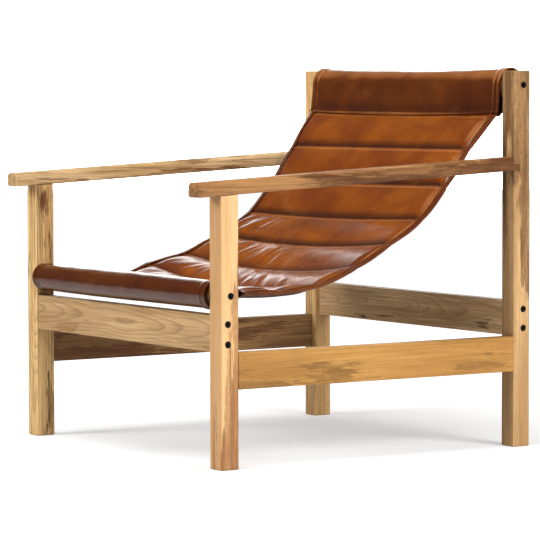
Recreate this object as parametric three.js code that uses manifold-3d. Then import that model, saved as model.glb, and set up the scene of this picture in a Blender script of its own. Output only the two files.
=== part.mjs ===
// Leather sling lounge chair: a bolted mango-wood frame that carries a quilted leather sling.
// Sizes are in millimetres. X points to the sitter's left, -Y to the front and Z up.

import * as THREE from 'three';
import { mergeVertices } from 'three/addons/utils/BufferGeometryUtils.js';
import Module from 'manifold-3d';

const wasm = await Module();
wasm.setup();

// Frame
const frameWidth = 744;
const frameDepth = 731;
const rearLegHeight = 750;
const legSize = 40;
const legEdgeRadius = 2.5;
const endChamferShare = 0.7;
const jointGap = 0.3;
const cutOverrun = 4;

// Rails
const railHeight = 70;
const railThickness = 28;
const railEdgeRadius = 1.8;
const sideRailBottom = 151;
const crossRailSetback = 2;
const tenonLength = 16;
const tenonThickness = 10;
const tenonShoulder = 12;

// Armrests
const armThickness = 28;
const armTopRadius = 9;
const armBottomRadius = 3;
const armOverhang = 46;
const armRearRounding = 11;
const armFrontHeight = 517.5;
const armRise = 33.5;
const tongueLength = 15;
const tongueHeight = 13;
const tongueWidth = 26;
const armDowelDiameter = 8;
const armDowelLength = 44;
const armDowelInArm = 16;
const armDowelSpacing = 18;

// Bars that carry the sling
const barDiameter = 48;
const seatBarSetback = 22.4;
const seatBarHeight = 328;
const topBarInset = 17;
const topBarDrop = 28.5;

// Bolts, barrel nuts and threaded inserts
const boltDiameter = 8;
const boltHeadDiameter = 13;
const boltHeadHeight = 8;
const boltHeadChamfer = 0.8;
const boltSocketAcross = 6;
const boltSocketDepth = 4;
const boltRecess = 1;
const railBoltLength = 80;
const barBoltLength = 60;
const railBoltSpacing = 38;
const boltHoleClearance = 0.5;
const boltTipRoom = 3;
const nutDiameter = 12;
const nutLength = 20;
const nutFromRailEnd = 35;
const insertDiameter = 12;
const insertLength = 20;
const threadClearance = 0.3;

// Sling
const sleeveThickness = 2.2;
const sleeveEndRoom = 5;
const sleeveTail = 7;
const frontSleeveSlack = 7.4;
const topSeamForward = 33;
const topSeamDrop = 57.5;
const frontSeamBack = 52.6;
const frontSeamRise = 2;
const panelTuck = 8;
const faceThickness = 1.8;
const backingThickness = 1.5;
const paddingCore = 1;
const channelCount = 8;
const puffHeight = 8;
const backPuffHeight = 8;
const puffFade = 26;
const seatSag = 23;
const sideDrawIn = 26;
const hemWidth = 14;
const hemThickness = 1.5;

// Places along the sling as shares of its length from the front: where its sides draw in
const drawInStartShare = 0.25;
const drawInFullShare = 0.7;
const drawInEndShare = 0.15;

// Places of the sewn creases as shares of the run and of the rise from the front seam to the top seam
const creaseShares = [
  [0.16, 0.009],
  [0.309, 0.04],
  [0.453, 0.119],
  [0.575, 0.227],
  [0.705, 0.367],
  [0.812, 0.579],
  [0.895, 0.782],
];

// Facets
const edgeSteps = 3;
const armEdgeSteps = 5;
const roundSteps = 18;
const holeSteps = 10;
const barSteps = 40;
const wrapSteps = 26;
const stepsPerChannel = 5;
const innerColumns = 3;

// Places worked out from the sizes above; y runs back from the front face of the front legs
const halfWidth = frameWidth / 2;
const innerHalf = halfWidth - legSize;
const legCentreX = halfWidth - legSize / 2;
const frontLegCentreY = legSize / 2;
const rearLegCentreY = frameDepth - legSize / 2;
const rearLegFrontY = frameDepth - legSize;
const sideRailTop = sideRailBottom + railHeight;
const crossRailCentreZ = sideRailTop + railHeight / 2;
const frontRailCentreY = crossRailSetback + railThickness / 2;
const backRailCentreY = frameDepth - crossRailSetback - railThickness / 2;
const railBoltHeights = [
  ['lower', crossRailCentreZ - railBoltSpacing / 2],
  ['upper', crossRailCentreZ + railBoltSpacing / 2],
];
const barRadius = barDiameter / 2;
const seatBarY = seatBarSetback;
const seatBarZ = seatBarHeight;
const topBarY = frameDepth - topBarInset;
const topBarZ = rearLegHeight - topBarDrop;
const armSlope = Math.atan2(armRise, rearLegFrontY - frontLegCentreY);
const armRearHeight = armFrontHeight + armRise;
const boltHoleRadius = boltDiameter / 2 + boltHoleClearance;
const counterboreRadius = boltHeadDiameter / 2 + boltHoleClearance;
const counterboreDepth = boltRecess + boltHeadHeight + jointGap;
const threadRadius = boltDiameter / 2 + threadClearance;
const sides = [['left', 1], ['right', -1]];

// Finishes
const paleWood = new THREE.MeshStandardMaterial({ color: 0xd9b27e, roughness: 0.55, metalness: 0 });
const brownWood = new THREE.MeshStandardMaterial({ color: 0xa47a4d, roughness: 0.5, metalness: 0 });
const leather = new THREE.MeshStandardMaterial({ color: 0x8a4518, roughness: 0.35, metalness: 0 });
const lining = new THREE.MeshStandardMaterial({ color: 0x4a2a1a, roughness: 0.8, metalness: 0 });
const wadding = new THREE.MeshStandardMaterial({ color: 0xe6e0d2, roughness: 0.95, metalness: 0 });
const blackSteel = new THREE.MeshStandardMaterial({ color: 0x1d1c1c, roughness: 0.45, metalness: 0.8 });
const brightSteel = new THREE.MeshStandardMaterial({ color: 0xb9babd, roughness: 0.35, metalness: 0.9 });

// Solids: every geometry becomes a closed solid, is cut or joined, and goes back to a geometry

function toSolid(geometry) {
  const bare = geometry.clone();
  bare.deleteAttribute('normal');
  bare.deleteAttribute('uv');
  const merged = mergeVertices(bare);
  const vertProperties = new Float32Array(merged.attributes.position.array);
  const triVerts = new Uint32Array(merged.index.array);
  return new wasm.Manifold(new wasm.Mesh({ numProp: 3, vertProperties, triVerts }));
}

function toGeometry(solid) {
  const mesh = solid.getMesh();
  const geometry = new THREE.BufferGeometry();
  geometry.setAttribute('position', new THREE.BufferAttribute(new Float32Array(mesh.vertProperties), 3));
  geometry.setIndex(new THREE.BufferAttribute(new Uint32Array(mesh.triVerts), 1));
  return geometry;
}

function cutAway(geometry, cutters) {
  const solid = cutters.reduce((rest, cutter) => rest.subtract(toSolid(cutter)), toSolid(geometry));
  return toGeometry(solid);
}

function joined(geometry, extra) {
  return toGeometry(toSolid(geometry).add(toSolid(extra)));
}

function boxBetween(low, high) {
  const size = new THREE.Vector3().subVectors(high, low);
  const centre = new THREE.Vector3().addVectors(high, low).multiplyScalar(0.5);
  const box = new THREE.BoxGeometry(size.x, size.y, size.z);
  return box.translate(centre.x, centre.y, centre.z);
}

// A round rod between two points
function rodBetween(start, end, radius, steps) {
  const along = new THREE.Vector3().subVectors(end, start);
  const rod = new THREE.CylinderGeometry(radius, radius, along.length(), steps);
  const turn = new THREE.Quaternion().setFromUnitVectors(new THREE.Vector3(0, 1, 0), along.clone().normalize());
  rod.applyQuaternion(turn);
  const centre = new THREE.Vector3().addVectors(start, end).multiplyScalar(0.5);
  return rod.translate(centre.x, centre.y, centre.z);
}

// A rectangle centred on the origin whose lower and upper corners are rounded
function roundedSection(width, height, lowRadius, highRadius) {
  const right = width / 2;
  const top = height / 2;
  const quarter = Math.PI / 2;
  const shape = new THREE.Shape();
  shape.absarc(right - lowRadius, lowRadius - top, lowRadius, -quarter, 0, false);
  shape.absarc(right - highRadius, top - highRadius, highRadius, 0, quarter, false);
  shape.absarc(highRadius - right, top - highRadius, highRadius, quarter, 2 * quarter, false);
  shape.absarc(lowRadius - right, lowRadius - top, lowRadius, 2 * quarter, 3 * quarter, false);
  return shape;
}

// A timber with eased ends, drawn along +Z from zero to its length
function timber(section, length, chamfer, steps) {
  const geometry = new THREE.ExtrudeGeometry(section, {
    depth: length - 2 * chamfer,
    curveSegments: steps,
    bevelEnabled: true,
    bevelThickness: chamfer,
    bevelSize: chamfer,
    bevelOffset: -chamfer,
    bevelSegments: 1,
  });
  return geometry.translate(0, 0, chamfer);
}

const axisX = new THREE.Vector3(1, 0, 0);
const axisY = new THREE.Vector3(0, 1, 0);
const axisZ = new THREE.Vector3(0, 0, 1);
const alongX = new THREE.Matrix4().makeBasis(axisY, axisZ, axisX);
const alongY = new THREE.Matrix4().makeBasis(axisX.clone().negate(), axisZ, axisY);

function addPiece(group, name, geometry, material) {
  const mesh = new THREE.Mesh(geometry, material);
  mesh.name = name;
  group.add(mesh);
  return mesh;
}

// Holes that a bolt needs through a leg: a shank hole and a counterbore from the outer face
function legBoltHoles(side, y, z) {
  const outside = side * (legSize / 2 + cutOverrun);
  const floor = side * (legSize / 2 - counterboreDepth);
  const outer = new THREE.Vector3(outside, y, z);
  const counterbore = rodBetween(outer, new THREE.Vector3(floor, y, z), counterboreRadius, roundSteps);
  const shank = rodBetween(outer, new THREE.Vector3(-outside, y, z), boltHoleRadius, holeSteps);
  return [counterbore, shank];
}

// The mortise in a leg for the tenon of a side rail; faceY is the leg's face, inward points into it
function railMortise(side, faceY, inward) {
  const centreX = side * (legSize / 2 - railThickness / 2);
  const low = sideRailBottom + tenonShoulder - jointGap;
  const high = sideRailTop - tenonShoulder + jointGap;
  const halfThickness = tenonThickness / 2 + jointGap;
  const mouth = faceY - inward * cutOverrun;
  const end = faceY + inward * (tenonLength + jointGap);
  return boxBetween(
    new THREE.Vector3(centreX - halfThickness, Math.min(mouth, end), low),
    new THREE.Vector3(centreX + halfThickness, Math.max(mouth, end), high),
  );
}

function legBlank(height) {
  const section = roundedSection(legSize, legSize, legEdgeRadius, legEdgeRadius);
  return timber(section, height, legEdgeRadius * endChamferShare, edgeSteps);
}

// Places of the two dowels that fix an armrest on its front leg, measured from the leg's centre line
const armDowelPlaces = [['front', -armDowelSpacing / 2], ['back', armDowelSpacing / 2]];

function armUndersideHeight(y) {
  return armFrontHeight + (y - frontLegCentreY) * Math.tan(armSlope);
}

// A cutter that takes away everything above the sloping underside of the armrest
function aboveArmUnderside() {
  const reach = legSize + cutOverrun;
  const cutter = boxBetween(new THREE.Vector3(-reach, -reach, 0), new THREE.Vector3(reach, reach, reach));
  cutter.rotateX(armSlope);
  return cutter.translate(0, 0, armFrontHeight - jointGap);
}

function frontLeg(side) {
  const blank = legBlank(armFrontHeight + legSize);
  const railY = frontRailCentreY - frontLegCentreY;
  const cutters = railBoltHeights.flatMap(([, height]) => legBoltHoles(side, railY, height));
  cutters.push(...legBoltHoles(side, seatBarY - frontLegCentreY, seatBarZ));
  cutters.push(railMortise(side, legSize / 2, -1));
  cutters.push(aboveArmUnderside());
  for (const [, offset] of armDowelPlaces) {
    const bottom = armUndersideHeight(frontLegCentreY + offset) - (armDowelLength - armDowelInArm) - jointGap;
    const start = new THREE.Vector3(0, offset, bottom);
    const end = new THREE.Vector3(0, offset, armFrontHeight + legSize);
    cutters.push(rodBetween(start, end, armDowelDiameter / 2 + jointGap, holeSteps));
  }
  return cutAway(blank, cutters);
}

// The housing in the outer face of a rear leg that takes the tongue of the armrest
function tongueHousing(side) {
  const inner = side * (legSize / 2 - tongueWidth - jointGap);
  const outer = side * (legSize / 2 + cutOverrun);
  const front = -legSize / 2;
  return boxBetween(
    new THREE.Vector3(Math.min(inner, outer), front - cutOverrun, armRearHeight - jointGap),
    new THREE.Vector3(
      Math.max(inner, outer),
      front + tongueLength + jointGap,
      armRearHeight + tongueHeight + jointGap,
    ),
  );
}

function rearLeg(side) {
  const railY = backRailCentreY - rearLegCentreY;
  const cutters = railBoltHeights.flatMap(([, height]) => legBoltHoles(side, railY, height));
  cutters.push(...legBoltHoles(side, topBarY - rearLegCentreY, topBarZ));
  cutters.push(railMortise(side, -legSize / 2, 1));
  cutters.push(tongueHousing(side));
  return cutAway(legBlank(rearLegHeight), cutters);
}

// A side rail lies between a front and a rear leg, flush with their outer faces, with a tenon at each end
function sideRail() {
  const section = roundedSection(railThickness, railHeight, railEdgeRadius, railEdgeRadius);
  const length = rearLegFrontY - legSize - 2 * jointGap;
  const body = timber(section, length, jointGap, edgeSteps).applyMatrix4(alongY);
  const halfHeight = railHeight / 2 - tenonShoulder;
  const tenons = boxBetween(
    new THREE.Vector3(-tenonThickness / 2, -tenonLength, -halfHeight),
    new THREE.Vector3(tenonThickness / 2, length + tenonLength, halfHeight),
  );
  return joined(body, tenons);
}

// A front or back rail runs between two legs; its barrel nuts go in from the face that openSide names
function crossRail(openSide) {
  const section = roundedSection(railThickness, railHeight, railEdgeRadius, railEdgeRadius);
  const length = 2 * (innerHalf - jointGap);
  const body = timber(section, length, jointGap, edgeSteps).applyMatrix4(alongX).translate(-length / 2, 0, 0);
  const cutters = [];
  const boltReach = railBoltLength + counterboreDepth - legSize + boltTipRoom;
  for (const [, side] of sides) {
    for (const [, height] of railBoltHeights) {
      const z = height - crossRailCentreZ;
      const outside = new THREE.Vector3(side * (innerHalf + cutOverrun), 0, z);
      const inside = new THREE.Vector3(side * (innerHalf - boltReach), 0, z);
      cutters.push(rodBetween(outside, inside, boltHoleRadius, holeSteps));
      const x = side * (innerHalf - nutFromRailEnd);
      const mouth = new THREE.Vector3(x, openSide * (railThickness / 2 + cutOverrun), z);
      const floor = new THREE.Vector3(x, -openSide * (nutLength / 2 + jointGap), z);
      cutters.push(rodBetween(mouth, floor, nutDiameter / 2 + jointGap, roundSteps));
    }
  }
  return cutAway(body, cutters);
}

// A round bar between two legs, with an insert hole and room for the bolt's tip in each end
function slingBar() {
  const halfLength = innerHalf - jointGap;
  const body = rodBetween(
    new THREE.Vector3(-halfLength, 0, 0),
    new THREE.Vector3(halfLength, 0, 0),
    barRadius,
    barSteps,
  );
  const boltReach = barBoltLength + counterboreDepth - legSize + boltTipRoom;
  const cutters = sides.flatMap(([, side]) => {
    const outside = new THREE.Vector3(side * (innerHalf + cutOverrun), 0, 0);
    const insertEnd = new THREE.Vector3(side * (halfLength - insertLength - jointGap), 0, 0);
    const boltEnd = new THREE.Vector3(side * (innerHalf - boltReach), 0, 0);
    return [
      rodBetween(outside, insertEnd, insertDiameter / 2 + jointGap, roundSteps),
      rodBetween(outside, boltEnd, boltHoleRadius, holeSteps),
    ];
  });
  return cutAway(body, cutters);
}

// A cutter that rounds the upper edge of the armrest's rear end
function armEndRounding() {
  const end = rearLegFrontY - jointGap;
  const centreY = end - armRearRounding;
  const centreZ = armUndersideHeight(centreY) + armThickness / Math.cos(armSlope) - armRearRounding;
  const corner = boxBetween(
    new THREE.Vector3(-legSize, centreY, centreZ),
    new THREE.Vector3(legSize, end + cutOverrun, centreZ + armThickness),
  );
  const round = rodBetween(
    new THREE.Vector3(-frameWidth, centreY, centreZ),
    new THREE.Vector3(frameWidth, centreY, centreZ),
    armRearRounding,
    barSteps,
  );
  return cutAway(corner, [round]);
}

// An armrest: a rounded board that slopes down to the front and ends in a tongue at the rear leg
function armrest(side) {
  const section = roundedSection(legSize, armThickness, armBottomRadius, armTopRadius);
  const reach = (frameDepth + armOverhang) / Math.cos(armSlope);
  const board = timber(section, reach, armBottomRadius * endChamferShare, armEdgeSteps).applyMatrix4(alongY);
  board.translate(0, -(armOverhang + frontLegCentreY) / Math.cos(armSlope), armThickness / 2);
  board.rotateX(armSlope);
  board.translate(0, frontLegCentreY, armFrontHeight);
  const behind = boxBetween(
    new THREE.Vector3(-legSize, rearLegFrontY - jointGap, armFrontHeight - legSize),
    new THREE.Vector3(legSize, frameDepth + armOverhang, armRearHeight + legSize),
  );
  const cutters = [behind, armEndRounding()];
  for (const [, offset] of armDowelPlaces) {
    const y = frontLegCentreY + offset;
    const start = new THREE.Vector3(0, y, armFrontHeight - legSize);
    const end = new THREE.Vector3(0, y, armUndersideHeight(y) + armDowelInArm + jointGap);
    cutters.push(rodBetween(start, end, armDowelDiameter / 2 + jointGap, holeSteps));
  }
  const outer = side * (legSize / 2);
  const inner = side * (legSize / 2 - tongueWidth);
  const tongue = boxBetween(
    new THREE.Vector3(Math.min(inner, outer), rearLegFrontY - tongueLength, armRearHeight),
    new THREE.Vector3(Math.max(inner, outer), rearLegFrontY + tongueLength, armRearHeight + tongueHeight),
  );
  return joined(cutAway(board, cutters), tongue);
}

// A socket-head bolt whose head faces +X; its head's outer face lies at the origin
function socketBolt(length) {
  const headRadius = boltHeadDiameter / 2;
  const profile = [
    new THREE.Vector2(0, -boltHeadHeight),
    new THREE.Vector2(headRadius, -boltHeadHeight),
    new THREE.Vector2(headRadius, -boltHeadChamfer),
    new THREE.Vector2(headRadius - boltHeadChamfer, 0),
    new THREE.Vector2(0, 0),
  ];
  const head = new THREE.LatheGeometry(profile, roundSteps).rotateZ(-Math.PI / 2);
  const tip = new THREE.Vector3(-boltHeadHeight - length, 0, 0);
  const shank = rodBetween(tip, new THREE.Vector3(-boltHeadHeight / 2, 0, 0), boltDiameter / 2, holeSteps);
  const socketRadius = boltSocketAcross / Math.sqrt(3);
  const socketFloor = new THREE.Vector3(-boltSocketDepth, 0, 0);
  const socket = rodBetween(socketFloor, new THREE.Vector3(cutOverrun, 0, 0), socketRadius, 6);
  return cutAway(joined(head, shank), [socket]);
}

// A barrel nut along Y with a threaded hole along X
function barrelNut() {
  const half = nutLength / 2;
  const body = rodBetween(
    new THREE.Vector3(0, -half, 0),
    new THREE.Vector3(0, half, 0),
    nutDiameter / 2,
    roundSteps,
  );
  const thread = rodBetween(
    new THREE.Vector3(-nutDiameter, 0, 0),
    new THREE.Vector3(nutDiameter, 0, 0),
    threadRadius,
    holeSteps,
  );
  return cutAway(body, [thread]);
}

// A threaded insert along X for the end of a bar
function threadedInsert() {
  const half = insertLength / 2;
  const body = rodBetween(
    new THREE.Vector3(-half, 0, 0),
    new THREE.Vector3(half, 0, 0),
    insertDiameter / 2,
    roundSteps,
  );
  const thread = rodBetween(
    new THREE.Vector3(-insertLength, 0, 0),
    new THREE.Vector3(insertLength, 0, 0),
    threadRadius,
    holeSteps,
  );
  return cutAway(body, [thread]);
}

// The line of the sling in the (y, z) plane: from the seam behind the seat bar to the seam under the top bar
const sleeveHalf = innerHalf - sleeveEndRoom;
const frontSeam = new THREE.Vector2(seatBarY + frontSeamBack, seatBarZ + frontSeamRise);
const topSeam = new THREE.Vector2(topBarY - topSeamForward, topBarZ - topSeamDrop);
const slingSpan = topSeam.clone().sub(frontSeam);
const creasePlaces = creaseShares.map(([run, rise]) => new THREE.Vector2(run, rise).multiply(slingSpan).add(frontSeam));
const slingLine = new THREE.SplineCurve([frontSeam, ...creasePlaces, topSeam]);
const slingLength = slingLine.getLength();
const quiltedLength = slingLength - 2 * sleeveTail;
const channelPitch = quiltedLength / channelCount;
const panelEndThickness = faceThickness + jointGap + backingThickness;

// How far along the quilted length a place lies, as a share from 0 to 1
function quiltShare(s) {
  return THREE.MathUtils.clamp((s - sleeveTail) / quiltedLength, 0, 1);
}

// Half the width of the sling: full at both sleeves and drawn in where the back is tight
function slingHalfWidth(s) {
  const share = quiltShare(s);
  const drawn = THREE.MathUtils.smoothstep(share, drawInStartShare, drawInFullShare);
  return sleeveHalf - sideDrawIn * drawn * THREE.MathUtils.smoothstep(1 - share, 0, drawInEndShare);
}

// How deep the middle of the sling hangs below its side edges
function sagDepth(s, x) {
  const across = Math.min(Math.abs(x) / slingHalfWidth(s), 1);
  return seatSag * Math.sin(Math.PI * Math.sqrt(quiltShare(s))) ** 4 * (1 - across ** 2);
}

// Rise of the padding in a channel: none at the sewn creases and full between them
function channelCrown(s) {
  const place = quiltShare(s) * channelCount;
  return Math.abs(Math.sin(Math.PI * place)) ** 0.75;
}

// A point of the sling at length s and width x, lifted off the sling's line towards the sitter
function slingPoint(s, x, lift) {
  const share = THREE.MathUtils.clamp(s / slingLength, 0, 1);
  const beyond = s - share * slingLength;
  const tangent = slingLine.getTangentAt(share);
  const point = slingLine.getPointAt(share).addScaledVector(tangent, beyond);
  const rise = lift - sagDepth(s, x);
  return new THREE.Vector3(x, point.x - tangent.y * rise, point.y + tangent.x * rise);
}

// Rows of the panel along its length: a tucked end, the seam, the steps of every channel, seam, tucked end
const quiltRows = Array.from(
  { length: channelCount * stepsPerChannel + 1 },
  (_, row) => sleeveTail + (row * channelPitch) / stepsPerChannel,
);
const panelRows = [-panelTuck, 0, ...quiltRows, slingLength, slingLength + panelTuck];

// Columns of the panel in one half of its width, from the middle to the side edge
function halfColumns(s) {
  const half = slingHalfWidth(s);
  const inner = half - hemWidth - puffFade;
  const columns = Array.from({ length: innerColumns + 1 }, (_, column) => (inner * column) / innerColumns);
  return [...columns, half - hemWidth - puffFade / 2, half - hemWidth, half];
}

function mirroredColumns(columns) {
  const others = columns.slice(1).reverse().map((x) => -x);
  return [...others, ...columns];
}

// Share of the full puff at a column: full in the middle, none at the hem
function puffShare(s, x) {
  const room = slingHalfWidth(s) - hemWidth - Math.abs(x);
  return Math.sin((Math.PI / 2) * THREE.MathUtils.clamp(room / puffFade, 0, 1));
}

// The padding lies only inside the outermost creases and hems; elsewhere face and backing meet
function hasPadding(s, x) {
  const inLength = s > sleeveTail + channelPitch / 10 && s < slingLength - sleeveTail - channelPitch / 10;
  const inWidth = Math.abs(x) < slingHalfWidth(s) - hemWidth - puffFade / 4;
  return inLength && inWidth;
}

function faceTop(s, x) {
  return puffHeight * channelCrown(s) * puffShare(s, x);
}

function faceUnderside(s, x) {
  return faceTop(s, x) - faceThickness;
}

function backingTop(s, x) {
  const core = hasPadding(s, x) ? paddingCore + jointGap : 0;
  const puff = hasPadding(s, x) ? backPuffHeight * channelCrown(s) * puffShare(s, x) : 0;
  return -faceThickness - jointGap - core - puff;
}

// A closed layer of the sling between two heights, over a grid of rows and columns
function slingLayer(rows, columnsAt, upper, lower) {
  const columnCount = columnsAt(rows[0]).length;
  const positions = [];
  for (const height of [upper, lower]) {
    for (const s of rows) {
      for (const x of columnsAt(s)) {
        positions.push(...slingPoint(s, x, height(s, x)).toArray());
      }
    }
  }
  const layerSize = rows.length * columnCount;
  const index = [];
  const quad = (a, b, c, d) => index.push(a, b, c, a, c, d);
  for (let row = 0; row + 1 < rows.length; row += 1) {
    for (let column = 0; column + 1 < columnCount; column += 1) {
      const a = row * columnCount + column;
      const b = a + 1;
      const c = b + columnCount;
      const d = a + columnCount;
      quad(a, b, c, d);
      quad(a + layerSize, d + layerSize, c + layerSize, b + layerSize);
    }
  }
  const rim = [];
  for (let column = 0; column < columnCount; column += 1) rim.push(column);
  for (let row = 1; row < rows.length; row += 1) rim.push(row * columnCount + columnCount - 1);
  for (let column = columnCount - 2; column >= 0; column -= 1) rim.push((rows.length - 1) * columnCount + column);
  for (let row = rows.length - 2; row > 0; row -= 1) rim.push(row * columnCount);
  rim.forEach((a, place) => {
    const b = rim[(place + 1) % rim.length];
    quad(a, a + layerSize, b + layerSize, b);
  });
  const geometry = new THREE.BufferGeometry();
  geometry.setAttribute('position', new THREE.Float32BufferAttribute(positions, 3));
  geometry.setIndex(index);
  return toGeometry(toSolid(geometry));
}

function slingFace() {
  return slingLayer(panelRows, (s) => mirroredColumns(halfColumns(s)), faceTop, faceUnderside);
}

function slingBacking() {
  const underside = (s, x) => backingTop(s, x) - backingThickness;
  return slingLayer(panelRows, (s) => mirroredColumns(halfColumns(s)), backingTop, underside);
}

function slingPadding() {
  const rows = quiltRows.slice(1, -1);
  const columnsAt = (s) => mirroredColumns(halfColumns(s).slice(0, -2));
  const upper = (s, x) => faceUnderside(s, x) - jointGap;
  const lower = (s, x) => backingTop(s, x) + jointGap;
  return slingLayer(rows, columnsAt, upper, lower);
}

// A leather binding folded round one side edge of the panel, as a U in section
function slingHem(side) {
  const rows = quiltRows.slice();
  rows[0] += jointGap;
  rows[rows.length - 1] -= jointGap;
  const top = jointGap + hemThickness;
  const bottom = -panelEndThickness - jointGap - hemThickness;
  const sectionAt = (s) => {
    const half = slingHalfWidth(s);
    const outer = half + jointGap + hemThickness;
    return [
      [half - hemWidth, top],
      [half - hemWidth, jointGap],
      [half + jointGap, jointGap],
      [half + jointGap, bottom + hemThickness],
      [half - hemWidth, bottom + hemThickness],
      [half - hemWidth, bottom],
      [outer, bottom],
      [outer, top],
    ];
  };
  const positions = [];
  for (const s of rows) {
    for (const [x, lift] of sectionAt(s)) {
      positions.push(...slingPoint(s, side * x, lift).toArray());
    }
  }
  const sectionSize = sectionAt(rows[0]).length;
  const index = [];
  const triangle = (a, b, c) => (side > 0 ? index.push(a, c, b) : index.push(a, b, c));
  for (let row = 0; row + 1 < rows.length; row += 1) {
    for (let corner = 0; corner < sectionSize; corner += 1) {
      const a = row * sectionSize + corner;
      const b = row * sectionSize + ((corner + 1) % sectionSize);
      triangle(a, b, b + sectionSize);
      triangle(a, b + sectionSize, a + sectionSize);
    }
  }
  const outline = sectionAt(rows[0]).map(([x, lift]) => new THREE.Vector2(x, lift));
  const last = (rows.length - 1) * sectionSize;
  for (const [a, b, c] of THREE.ShapeUtils.triangulateShape(outline, [])) {
    triangle(a, c, b);
    triangle(last + a, last + b, last + c);
  }
  const geometry = new THREE.BufferGeometry();
  geometry.setAttribute('position', new THREE.Float32BufferAttribute(positions, 3));
  geometry.setIndex(index);
  return toGeometry(toSolid(geometry));
}

// A strip of leather wrapped round a bar. Both its tails lie on the panel's end at the seam.
// Turn is 1 where the strip runs anticlockwise from its upper tail in the (y, z) plane, else -1.
function slingSleeve(bar, seam, alongPanel, turn, slack) {
  const lift = new THREE.Vector2(-alongPanel.y, alongPanel.x).multiplyScalar(turn);
  const wrapRadius = barRadius + jointGap;
  const upperSeam = seam.clone().addScaledVector(lift, jointGap);
  const lowerSeam = seam.clone().addScaledVector(lift, -panelEndThickness - jointGap);
  const touchAngle = (point, sense) => {
    const arm = point.clone().sub(bar);
    return arm.angle() + sense * Math.acos(wrapRadius / arm.length());
  };
  const start = touchAngle(upperSeam, turn);
  const fullTurn = 2 * Math.PI;
  const sweep = THREE.MathUtils.euclideanModulo(turn * (touchAngle(lowerSeam, -turn) - start), fullTurn);
  const innerLine = [upperSeam.clone().addScaledVector(alongPanel, sleeveTail), upperSeam];
  for (let step = 0; step <= wrapSteps; step += 1) {
    const angle = start + (turn * sweep * step) / wrapSteps;
    const forward = Math.cos(angle) < 0 ? slack : 0;
    innerLine.push(new THREE.Vector2(
      bar.x - forward + wrapRadius * Math.cos(angle),
      bar.y + wrapRadius * Math.sin(angle),
    ));
  }
  innerLine.push(lowerSeam, lowerSeam.clone().addScaledVector(alongPanel, sleeveTail));
  const outwards = innerLine.map((point, place) => {
    const before = innerLine[Math.max(place - 1, 0)];
    const after = innerLine[Math.min(place + 1, innerLine.length - 1)];
    const into = point.clone().sub(before).normalize();
    const out = after.clone().sub(point).normalize();
    const along = into.add(out).normalize();
    const bendShare = place === 0 || place === innerLine.length - 1 ? 1 : Math.abs(along.dot(out));
    return new THREE.Vector2(along.y, -along.x).multiplyScalar((turn * sleeveThickness) / bendShare);
  });
  const outerLine = innerLine.map((point, place) => point.clone().add(outwards[place]));
  const shape = new THREE.Shape([...innerLine, ...outerLine.reverse()]);
  const strip = new THREE.ExtrudeGeometry(shape, { depth: 2 * sleeveHalf, bevelEnabled: false });
  return strip.applyMatrix4(alongX).translate(-sleeveHalf, 0, 0);
}

// The assembly
const chair = new THREE.Group();
const frame = new THREE.Group();
chair.add(frame);
const frontEnd = -armOverhang;
const backEnd = topBarY + barRadius + jointGap + sleeveThickness;
frame.position.y = -(frontEnd + backEnd) / 2;

for (const [name, side] of sides) {
  const legX = side * legCentreX;
  addPiece(frame, `front_leg_${name}`, frontLeg(side), paleWood).position.set(legX, frontLegCentreY, 0);
  addPiece(frame, `rear_leg_${name}`, rearLeg(side), paleWood).position.set(legX, rearLegCentreY, 0);
  const railX = side * (halfWidth - railThickness / 2);
  const railZ = sideRailBottom + railHeight / 2;
  addPiece(frame, `side_rail_${name}`, sideRail(), paleWood).position.set(railX, legSize + jointGap, railZ);
  addPiece(frame, `armrest_${name}`, armrest(side), brownWood).position.set(legX, 0, 0);
  for (const [place, offset] of armDowelPlaces) {
    const y = frontLegCentreY + offset;
    const top = armUndersideHeight(y) + armDowelInArm;
    const dowel = new THREE.CylinderGeometry(
      armDowelDiameter / 2,
      armDowelDiameter / 2,
      armDowelLength,
      holeSteps,
    ).rotateX(Math.PI / 2);
    const mesh = addPiece(frame, `armrest_dowel_${place}_${name}`, dowel, paleWood);
    mesh.position.set(legX, y, top - armDowelLength / 2);
  }
}

const frontRail = addPiece(frame, 'front_rail', crossRail(1), paleWood);
frontRail.position.set(0, frontRailCentreY, crossRailCentreZ);
const backRail = addPiece(frame, 'back_rail', crossRail(1), brownWood);
backRail.position.set(0, backRailCentreY, crossRailCentreZ);
addPiece(frame, 'seat_bar', slingBar(), paleWood).position.set(0, seatBarY, seatBarZ);
addPiece(frame, 'top_bar', slingBar(), paleWood).position.set(0, topBarY, topBarZ);

// Bolts, with their nuts or inserts, on both sides
const headFaceX = halfWidth - boltRecess;

function addBolt(name, length, side, y, z) {
  const bolt = addPiece(frame, name, socketBolt(length), blackSteel);
  bolt.position.set(side * headFaceX, y, z);
  bolt.rotation.z = side > 0 ? 0 : Math.PI;
}

for (const [sideName, side] of sides) {
  for (const [railName, railY] of [['front_rail', frontRailCentreY], ['back_rail', backRailCentreY]]) {
    for (const [level, height] of railBoltHeights) {
      addBolt(`${railName}_bolt_${level}_${sideName}`, railBoltLength, side, railY, height);
      const nut = addPiece(frame, `${railName}_nut_${level}_${sideName}`, barrelNut(), brightSteel);
      nut.position.set(side * (innerHalf - nutFromRailEnd), railY, height);
    }
  }
  for (const [barName, y, z] of [['seat_bar', seatBarY, seatBarZ], ['top_bar', topBarY, topBarZ]]) {
    addBolt(`${barName}_bolt_${sideName}`, barBoltLength, side, y, z);
    const insert = addPiece(frame, `${barName}_insert_${sideName}`, threadedInsert(), brightSteel);
    insert.position.set(side * (innerHalf - jointGap - insertLength / 2), y, z);
  }
}

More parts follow.
